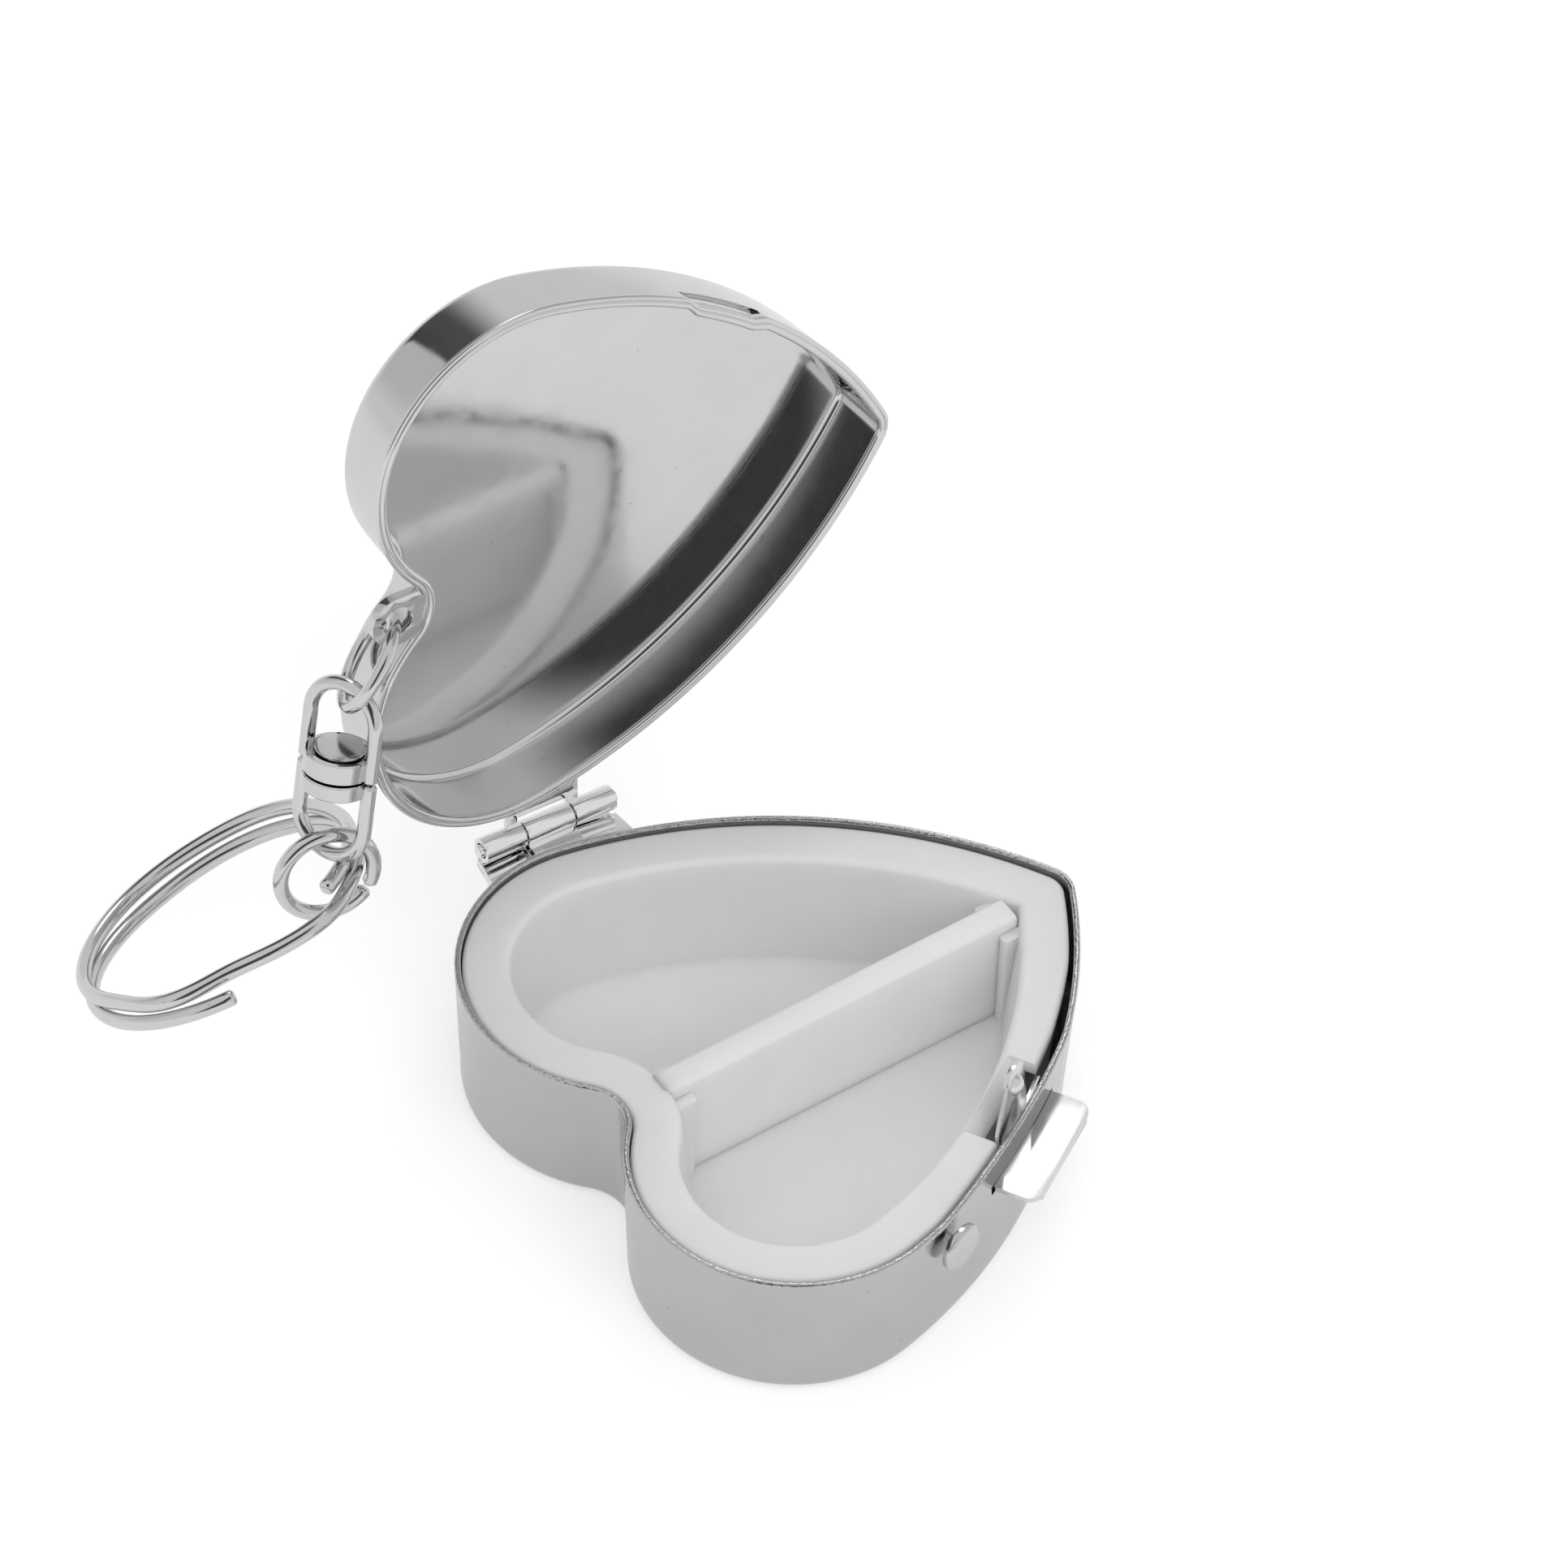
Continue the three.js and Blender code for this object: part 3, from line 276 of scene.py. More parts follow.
# Darker things around the tent: where they stand and the share of its light that they take.
# An edge is a pair: where the thing is gone and where it is full.
STAND_TOWARD = Vector((-0.66, -0.25, 0.7))
STAND_SHARE = 0.91
STAND_EDGE = (0.58, 0.8)
STAND_FRONT_EDGE = (-0.84, -0.76)
STAND_BACK_EDGE = (-0.28, -0.49)
CARD_TOWARD = Vector((0, 0.81, 0.58))
CARD_SHARE = 0.88
CARD_ANGLES_DEG = (18, 30)
CARD_LEFT_EDGE = (-0.32, -0.27)
CARD_RIGHT_EDGE = (0.42, 0.0)
SIDE_CARD_TOWARD = Vector((0.75, 0.02, 0.66))
SIDE_CARD_SHARE = 0.4
SIDE_CARD_ANGLES_DEG = (16, 34)
CORNER_CARD_TOWARD = Vector((-0.45, 0.8, 0.4))
CORNER_CARD_SHARE = 0.2
CORNER_CARD_ANGLES_DEG = (8, 24)

# Places that follow from the sizes above
LOBE_Y = HEART_WIDTH / 2 - LOBE_RADIUS
SIDE_REACH = SIDE_RADIUS - LOBE_RADIUS
SIDE_START = math.radians(SIDE_START_DEG)
SIDE_Y = LOBE_Y - SIDE_REACH * math.cos(SIDE_START)
SIDE_FROM_LOBE = -SIDE_REACH * math.sin(SIDE_START)
TIP_FROM_LOBE = SIDE_FROM_LOBE + math.sqrt((SIDE_RADIUS - TIP_RADIUS) ** 2 - SIDE_Y**2)
LOBE_X = -(TIP_FROM_LOBE + TIP_RADIUS - LOBE_RADIUS) / 2
SIDE_X = LOBE_X + SIDE_FROM_LOBE
CLEFT_X = LOBE_X - math.sqrt((LOBE_RADIUS + CLEFT_RADIUS) ** 2 - LOBE_Y**2)
LID_RIM_Z = BASE_HEIGHT + RIM_GAP
LID_TOP_Z = LID_RIM_Z + LID_HEIGHT
LINER_TOP_Z = BASE_HEIGHT - LINER_TOP_BELOW_RIM
LINER_LOW_Z = WALL + LINER_SEAT_GAP
LINER_FLOOR_Z = LINER_LOW_Z + LINER_FLOOR
FLANGE_LOW_Z = LINER_TOP_Z - FLANGE_THICKNESS
FLANGE_INSET = WALL + LINER_SIDE_GAP
LINER_INNER_INSET = FLANGE_INSET + FLANGE_WIDTH
CUP_INSET = LINER_INNER_INSET - LINER_WALL
TAB_TOP_Z = BASE_HEIGHT - TAB_BELOW_RIM
TAB_LOW_Z = TAB_TOP_Z - TAB_THICKNESS
RIVET_Z = FLANGE_LOW_Z - STRIP_GAP - STRIP_HEIGHT / 2
HINGE_Z = LID_RIM_Z - RIM_GAP / 2 - HINGE_DROP
HINGE_MIDDLE = Vector((HINGE_MIDDLE_X, HEART_WIDTH / 2 + HINGE_REACH, HINGE_Z))
LUG_MIDDLE_Z = LID_RIM_Z + LUG_ABOVE_RIM + LUG_THICKNESS / 2
LUG_HOLE_X = CLEFT_X + CLEFT_RADIUS - LUG_HOLE_FROM_CLEFT


# Meshes
def mesh_piece(name, points, faces):
    """A new object from points in millimetres."""
    mesh = bpy.data.meshes.new(name)
    mesh.from_pydata([point * MM for point in points], [], faces)
    mesh.validate()
    piece = bpy.data.objects.new(name, mesh)
    bpy.context.scene.collection.objects.link(piece)
    return piece


def shade(piece, sharp_deg):
    piece.data.shade_smooth()
    piece.data.set_sharp_from_angle(angle=math.radians(sharp_deg))


def combine(piece, other, operation):
    """Joins another closed mesh to a piece, cuts it away, or keeps what both share."""
    modifier = piece.modifiers.new("combine", "BOOLEAN")
    modifier.operation = operation
    modifier.solver = "EXACT"
    modifier.object = other
    graph = bpy.context.evaluated_depsgraph_get()
    piece.data = bpy.data.meshes.new_from_object(piece.evaluated_get(graph))
    piece.modifiers.clear()
    bpy.data.objects.remove(other)
    return piece


def block(name, low, high):
    corners = [Vector((x, y, z)) for z in (low.z, high.z) for y in (low.y, high.y) for x in (low.x, high.x)]
    faces = [(0, 2, 3, 1), (4, 5, 7, 6), (0, 1, 5, 4), (2, 6, 7, 3), (0, 4, 6, 2), (1, 3, 7, 5)]
    return mesh_piece(name, corners, faces)


def stack(name, rings):
    """A closed mesh through a stack of rings, with flat ends."""
    count = len(rings[0])
    faces = []
    for level in range(len(rings) - 1):
        for k in range(count):
            a = level * count + k
            b = level * count + (k + 1) % count
            faces.append((a, b, b + count, a + count))
    last = (len(rings) - 1) * count
    faces.append(tuple(reversed(range(count))))
    faces.append(tuple(range(last, last + count)))
    return mesh_piece(name, [point for ring in rings for point in ring], faces)


def lathe(name, profile, sides):
    """A closed mesh of (radius, height) pairs turned about Z, with flat ends."""
    rings = []
    for radius, z in profile:
        turns = [2 * math.pi * k / sides for k in range(sides)]
        rings.append([Vector((radius * math.cos(a), radius * math.sin(a), z)) for a in turns])
    return stack(name, rings)


def wire(name, path, radius, closed, flat=1):
    """A wire along a path of points, with domed ends where it is open; flat widens its section along Y."""
    count = len(path)
    tangents = []
    for k in range(count):
        ahead = path[(k + 1) % count] if closed else path[min(k + 1, count - 1)]
        behind = path[(k - 1) % count] if closed else path[max(k - 1, 0)]
        tangents.append((ahead - behind).normalized())
    side = tangents[0].orthogonal().normalized()
    rings = []
    for k in range(count):
        side = (side - tangents[k] * side.dot(tangents[k])).normalized()
        other = tangents[k].cross(side)
        ring = []
        for n in range(WIRE_SIDES):
            angle = 2 * math.pi * n / WIRE_SIDES
            off = (side * math.cos(angle) + other * math.sin(angle)) * radius
            ring.append(path[k] + off * Vector((1, flat, 1)))
        rings.append(ring)
    if not closed:
        dome = radius / DOME_FLATNESS
        first = path[0]
        last = path[-1]
        rings.insert(0, [first + (point - first) * DOME_TAPER - tangents[0] * dome for point in rings[0]])
        rings.append([last + (point - last) * DOME_TAPER + tangents[-1] * dome for point in rings[-1]])
        return stack(name, rings)
    points = [point for ring in rings for point in ring]
    faces = []
    for k in range(count):
        for n in range(WIRE_SIDES):
            m = (n + 1) % WIRE_SIDES
            a = k * WIRE_SIDES
            b = (k + 1) % count * WIRE_SIDES
            faces.append((a + n, a + m, b + m, b + n))
    return mesh_piece(name, points, faces)


def dress(piece, body, node, material):
    """Puts a finished mesh in the frame in place of its CAD node."""
    piece.data.materials.clear()
    piece.data.materials.append(material)
    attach(piece, body)
    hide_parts(node)


# Heart outline
def arc(centre, radius, start, end, steps, outward):
    points = []
    for k in range(steps):
        angle = start + (end - start) * k / steps
        way = Vector((math.cos(angle), math.sin(angle)))
        points.append((centre + way * radius, way * outward))
    return points


def half_heart(inset):
    """Points and outward normals of the far half, from the tip to the cleft, moved in by an inset."""
    tip_radius = max(TIP_RADIUS - inset, INNER_TIP_RADIUS)
    side_radius = SIDE_RADIUS - inset
    tip_x = SIDE_X + math.sqrt((side_radius - tip_radius) ** 2 - SIDE_Y**2)
    tip_angle = math.atan2(-SIDE_Y, tip_x - SIDE_X)
    lobe_angle = math.pi / 2 - SIDE_START
    cleft_angle = math.atan2(LOBE_Y, LOBE_X - CLEFT_X)
    cleft_radius = CLEFT_RADIUS + inset
    lobe = Vector((LOBE_X, LOBE_Y))
    return [
        *arc(Vector((tip_x, 0)), tip_radius, 0, tip_angle, TIP_STEPS, 1),
        *arc(Vector((SIDE_X, SIDE_Y)), side_radius, tip_angle, lobe_angle, SIDE_STEPS, 1),
        *arc(lobe, LOBE_RADIUS - inset, lobe_angle, math.pi + cleft_angle, LOBE_STEPS, 1),
        *arc(Vector((CLEFT_X, 0)), cleft_radius, cleft_angle, 0, CLEFT_STEPS, -1),
        (Vector((CLEFT_X + cleft_radius, 0)), Vector((-1, 0))),
    ]


def heart_ring(inset, z, press=None):
    """The whole outline at a height; press gives a further inset on the near half."""
    far = half_heart(inset)
    ring = [Vector((point.x, point.y, z)) for point, normal in far]
    for point, normal in reversed(far[1:-1]):
        depth = press(point.x, z) if press else 0
        ring.append(Vector((point.x - normal.x * depth, normal.y * depth - point.y, z)))
    return ring


def quarter(radius, steps):
    """(in, up) pairs of a quarter round, from its side to its top."""
    turns = [math.pi / 2 * k / steps for k in range(steps + 1)]
    return [(radius * (1 - math.cos(a)), radius * math.sin(a)) for a in turns]


def rim_bead(width, height):
    """(inset, height) pairs over a rolled rim, from the outer wall to the inner one."""
    radius = width / 2
    under = math.acos((WALL - radius) / radius)
    turns = even(math.pi, -under, RIM_STEPS)
    return [(radius + radius * math.cos(a), height - radius + radius * math.sin(a)) for a in turns]


def rim_hem(height):
    """(inset, height) pairs over a folded hem: an outer and an inner bead with a groove between them."""
    outer = HEM_OUTER_RADIUS - HEM_OUT
    inner = outer + HEM_STEP
    to_groove = (HEM_STEP**2 + HEM_OUTER_RADIUS**2 - HEM_INNER_RADIUS**2) / (2 * HEM_STEP)
    meet_outer = math.acos(to_groove / HEM_OUTER_RADIUS)
    meet_inner = math.acos((to_groove - HEM_STEP) / HEM_INNER_RADIUS)
    start = -math.acos(-outer / HEM_OUTER_RADIUS)
    end = -math.acos((WALL - inner) / HEM_INNER_RADIUS)
    middle = height - HEM_INNER_RADIUS
    beads = (
        (outer, HEM_OUTER_RADIUS, start, meet_outer - 2 * math.pi),
        (inner, HEM_INNER_RADIUS, meet_inner, end),
    )
    profile = []
    for centre, radius, first, last in beads:
        for a in even(first, last, RIM_STEPS):
            profile.append((centre + radius * math.cos(a), middle + radius * math.sin(a)))
    return profile


def cup_profile(height, draft, bend, corner, rim, levels):
    """(inset, height) pairs of a pressed cup, from its closed end over the rim to its inner floor."""

    def lean(z):
        return draft * (1 - z / height) ** bend

    profile = [(lean(0) + corner + FLAT_MARGIN, 0)]
    for side, up in reversed(quarter(corner, CORNER_STEPS)):
        profile.append((lean(corner - up) + side, corner - up))
    profile += [(lean(z), z) for z in levels]
    profile += rim
    profile += [(lean(z) + WALL, z) for z in reversed(levels)]
    inner = corner - WALL
    for side, up in quarter(inner, CORNER_STEPS):
        profile.append((lean(corner - up) + WALL + side, corner - up))
    profile.append((lean(0) + corner + FLAT_MARGIN, WALL))
    return profile


def smooth(share):
    t = min(1, max(0, share))
    return t * t * (3 - 2 * t)


def even(low, high, count):
    return [low + (high - low) * k / (count - 1) for k in range(count)]


# Places on the front wall
def front_matrix(turn_deg):
    turn = math.radians(turn_deg)
    foot = Vector((SIDE_X + SIDE_RADIUS * math.sin(turn), -SIDE_Y - SIDE_RADIUS * math.cos(turn), 0))
    return Matrix.Translation(foot * MM) @ Matrix.Rotation(turn, 4, "Z")


def at_front(piece, turn_deg):
    piece.data.transform(front_matrix(turn_deg))
    return piece


LATCH_TURN = math.radians(LATCH_TURN_DEG)
LIP_MIDDLE_X = SIDE_X + SIDE_RADIUS * math.sin(LATCH_TURN) + LIP_ALONG * math.cos(LATCH_TURN)
LIP_HALF = LIP_LENGTH / 2 * math.cos(LATCH_TURN)
LIP_FADE = LIP_HALF / 3


def hump(x, low, high):
    """A rise from nothing at both ends to one halfway."""
    share = (x - low) / (high - low)
    return math.sin(math.pi * share) if 0 < share < 1 else 0


def dent_press(x, z):
    rise = smooth((z - DENT_LOW_Z) / (BASE_HEIGHT - DENT_LOW_Z))
    return DENT_DEPTH * hump(x, DENT_FROM_X, DENT_TO_X) * rise


def flange_press(x, z):
    return dent_press(x, z) + RELIEF_DEPTH * hump(x, RELIEF_FROM_X, RELIEF_TO_X)


def lip_press(x, z):
    across = smooth((LIP_HALF - abs(x - LIP_MIDDLE_X)) / LIP_FADE)
    return LIP_DEPTH * across if z - LID_RIM_Z < LIP_HEIGHT + LIP_SLIT / 2 else 0


# Base shell with the thumb tab's slit and the rivet's hole
def make_base_shell():
    levels = [BASE_CORNER * 2, *even(DENT_LOW_Z, BASE_HEIGHT - BASE_RIM_WIDTH, BASE_LEVELS)]
    rim = rim_bead(BASE_RIM_WIDTH, BASE_HEIGHT)
    profile = cup_profile(BASE_HEIGHT, BASE_DRAFT, 1, BASE_CORNER, rim, levels)
    shell = stack("base_cup", [heart_ring(inset, z, dent_press) for inset, z in profile])
    half = TAB_LENGTH / 2 + SLIT_GAP
    slit = block(
        "slit",
        Vector((-half, -TAB_REACH, TAB_LOW_Z - SLIT_GAP)),
        Vector((half, TAB_REACH, TAB_TOP_Z + SLIT_TOP_GAP)),
    )
    combine(shell, at_front(slit, LATCH_TURN_DEG), "DIFFERENCE")
    radius = RIVET_SHANK_DIAMETER / 2 + RIVET_GAP
    hole = lathe("hole", [(radius, -TAB_REACH), (radius, TAB_REACH)], HOLE_SIDES)
    hole.data.transform(Matrix.Translation((0, 0, RIVET_Z * MM)) @ Matrix.Rotation(math.pi / 2, 4, "X"))
    combine(shell, at_front(hole, RIVET_TURN_DEG), "DIFFERENCE")
    shade(shell, SHELL_SHARP_DEG)
    return shell


# Lid shell, made closed and then opened about the hinge pin
def lid_turn():
    skew = math.radians(HINGE_SKEW_DEG)
    tilt = math.radians(HINGE_TILT_DEG)
    axis = Vector((math.cos(skew) * math.cos(tilt), math.sin(skew) * math.cos(tilt), math.sin(tilt)))
    middle = HINGE_MIDDLE * MM
    turn = Matrix.Rotation(-math.radians(OPEN_DEG), 4, axis)
    return Matrix.Translation(middle) @ turn @ Matrix.Translation(-middle)


def make_lid_shell():
    slit_z = LID_HEIGHT - LIP_HEIGHT - LIP_SLIT
    levels = [*even(LID_WALL_FROM, slit_z, LID_LEVELS), LID_HEIGHT - LIP_HEIGHT]
    rim = rim_hem(LID_HEIGHT)
    profile = cup_profile(LID_HEIGHT, LID_DRAFT, LID_WALL_BEND, LID_CORNER, rim, levels)
    rings = [heart_ring(inset, LID_TOP_Z - z, lip_press) for inset, z in reversed(profile)]
    shell = stack("lid_cup", rings)
    low = LID_RIM_Z + LIP_HEIGHT
    slit = block(
        "slit",
        Vector((LIP_ALONG - LIP_LENGTH / 2, -TAB_REACH, low)),
        Vector((LIP_ALONG + LIP_LENGTH / 2, TAB_REACH, low + LIP_SLIT)),
    )
    combine(shell, at_front(slit, LATCH_TURN_DEG), "DIFFERENCE")
    shell.data.transform(lid_turn())
    shade(shell, SHELL_SHARP_DEG)
    return shell


# Liner tray with its rib pairs and the notch for the latch tongue
def make_liner():
    floor_inset = LINER_INNER_INSET + LINER_INNER_DRAFT
    foot_inset = floor_inset - LINER_WALL
    edge = quarter(LINER_EDGE_ROUND, EDGE_STEPS)
    inner_edge = quarter(LINER_INNER_EDGE_ROUND, INNER_EDGE_STEPS)
    low = LINER_TOP_Z - LINER_EDGE_ROUND
    inner_low = LINER_TOP_Z - LINER_INNER_EDGE_ROUND
    rings = [
        heart_ring(foot_inset + LINER_EDGE_ROUND, LINER_LOW_Z),
        heart_ring(foot_inset, LINER_LOW_Z + LINER_EDGE_ROUND),
        heart_ring(CUP_INSET, FLANGE_LOW_Z),
        heart_ring(FLANGE_INSET, FLANGE_LOW_Z, flange_press),
    ]
    rings += [heart_ring(FLANGE_INSET + side, low + up, flange_press) for side, up in edge]
    rings += [heart_ring(LINER_INNER_INSET - side, inner_low + up) for side, up in reversed(inner_edge)]
    for share in even(0.1, 0.9, LINER_LEVELS):
        z = inner_low + (LINER_FLOOR_Z + LINER_FLOOR_ROUND - inner_low) * share
        rings.append(heart_ring(LINER_INNER_INSET + LINER_INNER_DRAFT * share, z))
    for side, up in quarter(LINER_FLOOR_ROUND, FLOOR_ROUND_STEPS):
        rings.append(heart_ring(floor_inset + side, LINER_FLOOR_Z + LINER_FLOOR_ROUND - up))
    rings.append(heart_ring(floor_inset + LINER_FLOOR_ROUND + FLAT_MARGIN, LINER_FLOOR_Z))
    tray = stack("liner", rings)
    for rib in make_ribs(floor_inset):
        combine(tray, rib, "UNION")
    backing = block(
        "backing",
        Vector((NOTCH_FROM_X - LINER_WALL, RAMP_FOOT_IN, FLANGE_LOW_Z - RAMP_FOOT_BELOW_FLANGE)),
        Vector((NOTCH_TO_X + LINER_WALL, RAMP_TOP_IN, FLANGE_LOW_Z + FLANGE_THICKNESS / 2)),
    )
    combine(tray, at_front(backing, LATCH_TURN_DEG), "UNION")
    combine(tray, at_front(make_notch(), LATCH_TURN_DEG), "DIFFERENCE")
    tray.data.transform(Matrix.Translation(LINER_SHIFT * MM))
    shade(tray, LINER_SHARP_DEG)
    return tray


def make_notch():
    """The room of the latch tongue, with a ramp at its back."""
    foot = FLANGE_LOW_Z - RAMP_FOOT_BELOW_FLANGE
    section = [
        (-TAB_REACH, foot),
        (RAMP_FOOT_IN, foot),
        (RAMP_TOP_IN, LINER_TOP_Z - RAMP_TOP_BELOW_LINER),
        (RAMP_TOP_IN, BASE_HEIGHT),
        (-TAB_REACH, BASE_HEIGHT),
    ]
    return stack("notch", [[Vector((x, y, z)) for y, z in section] for x in (NOTCH_FROM_X, NOTCH_TO_X)])


def soften(piece, radius):
    """Rounds every edge of a piece."""
    shape = bmesh.new()
    shape.from_mesh(piece.data)
    bmesh.ops.bevel(
        shape,
        geom=shape.edges[:],
        offset=radius * MM,
        segments=SOFT_SEGMENTS,
        profile=0.5,
        affect="EDGES",
    )
    shape.to_mesh(piece.data)
    shape.free()


def make_ribs(floor_inset):
    """Two pairs of upright ribs that hold the divider's ends."""
    in_wall = LINER_WALL / 2
    near_edge = DIVIDER_THICKNESS / 2 + DIVIDER_GAP
    top = LINER_TOP_Z - RIB_TOP_BELOW_LINER
    cleft_end = CLEFT_X + CLEFT_RADIUS + LINER_INNER_INSET
    tip_end = half_heart(LINER_INNER_INSET)[0][0].x
    deep = FLANGE_WIDTH * 2
    spans = [
        (cleft_end - deep, cleft_end + RIB_REACH),
        (tip_end - RIB_REACH - RIB_THICKNESS, tip_end + deep),
    ]
    ribs = []
    for from_x, to_x in spans:
        for side in (-1, 1):
            edges = sorted((side * near_edge, side * (near_edge + RIB_THICKNESS)))
            low = LINER_FLOOR_Z - LINER_FLOOR / 2
            rib = block("rib", Vector((from_x, edges[0], low)), Vector((to_x, edges[1], top)))
            soften(rib, RIB_ROUND)
            room = stack(
                "room",
                [
                    heart_ring(floor_inset - in_wall, LINER_LOW_Z + LINER_EDGE_ROUND),
                    heart_ring(LINER_INNER_INSET - in_wall, FLANGE_LOW_Z),
                ],
            )
            ribs.append(combine(rib, room, "INTERSECT"))
    return ribs


# Divider plate with rounded upper edges and ends drafted to the cavity
def make_divider():
    half = DIVIDER_THICKNESS / 2
    low = LINER_FLOOR_Z + DIVIDER_SEAT_GAP
    edge = quarter(DIVIDER_EDGE_ROUND, EDGE_STEPS)
    wall_edge = quarter(LINER_INNER_EDGE_ROUND, EDGE_STEPS)
    shoulder = LINER_TOP_Z - DIVIDER_EDGE_ROUND
    section = [(half, low)] + [(half - side, shoulder + up) for side, up in edge]
    section += [(-y, z) for y, z in reversed(section)]
    top_inset = LINER_INNER_INSET + DIVIDER_END_GAP
    tip_end = max(point.x for point, normal in half_heart(top_inset) if point.y > half)
    rings = [[Vector((x, y, z)) for y, z in section] for x in (-HEART_WIDTH, tip_end)]
    plate = stack("divider_plate", rings)
    wall_low = LINER_TOP_Z - LINER_INNER_EDGE_ROUND
    room = [
        heart_ring(top_inset + LINER_INNER_DRAFT + LINER_FLOOR_ROUND, LINER_FLOOR_Z),
        heart_ring(top_inset + LINER_INNER_DRAFT, LINER_FLOOR_Z + LINER_FLOOR_ROUND),
    ]
    room += [heart_ring(top_inset - side, wall_low + up) for side, up in wall_edge]
    combine(plate, stack("room", room), "INTERSECT")
    plate.data.transform(Matrix.Translation(LINER_SHIFT * MM))
    shade(plate, LINER_SHARP_DEG)
    return plate


# Chain links
def hanging(pose, origin):
    """Matrix of a link: local -Z runs down its length and local X across it. Pose is heading, dip, turn."""
    heading, dip, turn = (math.radians(value) for value in pose)
    down = Vector((math.cos(dip) * math.cos(heading), math.cos(dip) * math.sin(heading), -math.sin(dip)))
    level = Vector((-math.sin(heading), math.cos(heading), 0))
    side = level * math.cos(turn) + down.cross(level) * math.sin(turn)
    columns = Matrix((side, (-down).cross(side), -down)).transposed()
    return Matrix.Translation(origin) @ columns.to_4x4()


def in_metres(matrix):
    place = matrix.copy()
    place.translation = place.translation * MM
    return place


COLLAR_TOP_Z = -COLLAR_BELOW_ARCH
COLLAR_LOW_Z = COLLAR_TOP_Z - COLLAR_HEIGHT
PLATE_TOP_Z = COLLAR_LOW_Z - SWIVEL_GAP
PLATE_LOW_Z = PLATE_TOP_Z - SWIVEL_PLATE_HEIGHT
FOOT_SINK = BOW_WIRE / 6


def chain_places():
    """The matrix of each hanging link, in millimetres."""
    turn = lid_turn()
    lug = (turn @ (Vector((LUG_HOLE_X, 0, LUG_MIDDLE_Z)) * MM)) / MM
    lug_ring = hanging(LUG_RING_POSE, hanging(LUG_RING_POSE, lug) @ Vector((0, 0, -LUG_RING_SAG)))
    arch_reach = BOW_RADIUS - BOW_WIRE / 2 - LUG_RING_WIRE / 2 - LINK_GAP
    in_bow = math.radians(LUG_RING_IN_BOW_DEG)
    low = lug_ring @ Vector((0, 0, -2 * LUG_RING_RADIUS))
    turned = hanging(SWIVEL_POSE, Vector())
    arch = turned @ Vector((-arch_reach * math.cos(in_bow), 0, -arch_reach * math.sin(in_bow)))
    swivel = hanging(SWIVEL_POSE, low + arch)
    bow_reach = BOW_RADIUS - BOW_WIRE / 2 - LOWER_RING_WIRE / 2 - LINK_GAP
    lower_ring = hanging(LOWER_RING_POSE, swivel @ Vector((0, 0, -BOW_CENTRES - bow_reach)))
    ring_reach = LOWER_RING_RADIUS - LOWER_RING_WIRE / 2 - SPLIT_WIRE / 2 - SPLIT_LINK_GAP
    in_ring = math.radians(SPLIT_IN_RING_DEG)
    hook = Vector((ring_reach * math.sin(in_ring), 0, -LOWER_RING_RADIUS - ring_reach * math.cos(in_ring)))
    split = hanging(SPLIT_POSE, lower_ring @ hook)
    return lug_ring, swivel, lower_ring, split


def make_lug_ring():
    turns = [2 * math.pi * k / RING_STEPS for k in range(RING_STEPS)]
    path = [Vector((math.cos(a), 0, math.sin(a) - 1)) * LUG_RING_RADIUS for a in turns]
    ring = wire("lug_link", path, LUG_RING_WIRE / 2, True)
    shade(ring, RING_SHARP_DEG)
    return ring


def bow_path(foot_z):
    """Centre line of a bow's round arch with straight arms down to its feet."""
    points = [Vector((BOW_RADIUS, 0, z)) for z in even(foot_z, foot_z / ARM_STEPS, ARM_STEPS)]
    for k in range(ARCH_STEPS + 1):
        angle = math.pi / 2 * k / ARCH_STEPS
        points.append(Vector((BOW_RADIUS * math.cos(angle), 0, BOW_RADIUS * math.sin(angle))))
    return points + [Vector((-point.x, 0, point.z)) for point in reversed(points[:-1])]


def collar(name, face, end, rim):
    """A bored disc from its inner face to its outer end, with a raised rim around the rivet at the end."""
    outer = COLLAR_DIAMETER / 2
    inner = outer - COLLAR_RIM_WIDTH
    bore = SWIVEL_SHANK_DIAMETER / 2 + SWIVEL_GAP
    ease = math.copysign(COLLAR_EASE, end - face)
    top = end + math.copysign(rim, end - face)
    profile = [
        (outer - COLLAR_EASE, face),
        (outer, face + ease),
        (outer, top - ease),
        (outer - COLLAR_EASE, top),
        (inner + COLLAR_EASE / 2, top),
        (inner, top - ease / 2),
        (inner, end),
    ]
    if end < face:
        profile.reverse()
    disc = lathe(name, profile, COLLAR_SIDES)
    low = min(face, end) - SWIVEL_GAP
    high = max(face, end) + SWIVEL_GAP
    hole = lathe("hole", [(bore, low), (bore, high)], BORE_SIDES)
    return combine(disc, hole, "DIFFERENCE")


def make_upper_bow():
    bow = wire("upper_bow_link", bow_path(COLLAR_LOW_Z + FOOT_SINK), BOW_WIRE / 2, False)
    combine(bow, collar("collar", COLLAR_LOW_Z, COLLAR_TOP_Z, COLLAR_RIM_HEIGHT), "UNION")
    shade(bow, BOW_SHARP_DEG)
    return bow


def make_lower_bow():
    path = bow_path(-(BOW_CENTRES + PLATE_TOP_Z - FOOT_SINK))
    low = [Vector((point.x, 0, -BOW_CENTRES - point.z)) for point in path]
    bow = wire("lower_bow_link", low, BOW_WIRE / 2, False)
    combine(bow, collar("collar", PLATE_TOP_Z, PLATE_LOW_Z, COLLAR_RIM_HEIGHT), "UNION")
    shade(bow, BOW_SHARP_DEG)
    return bow


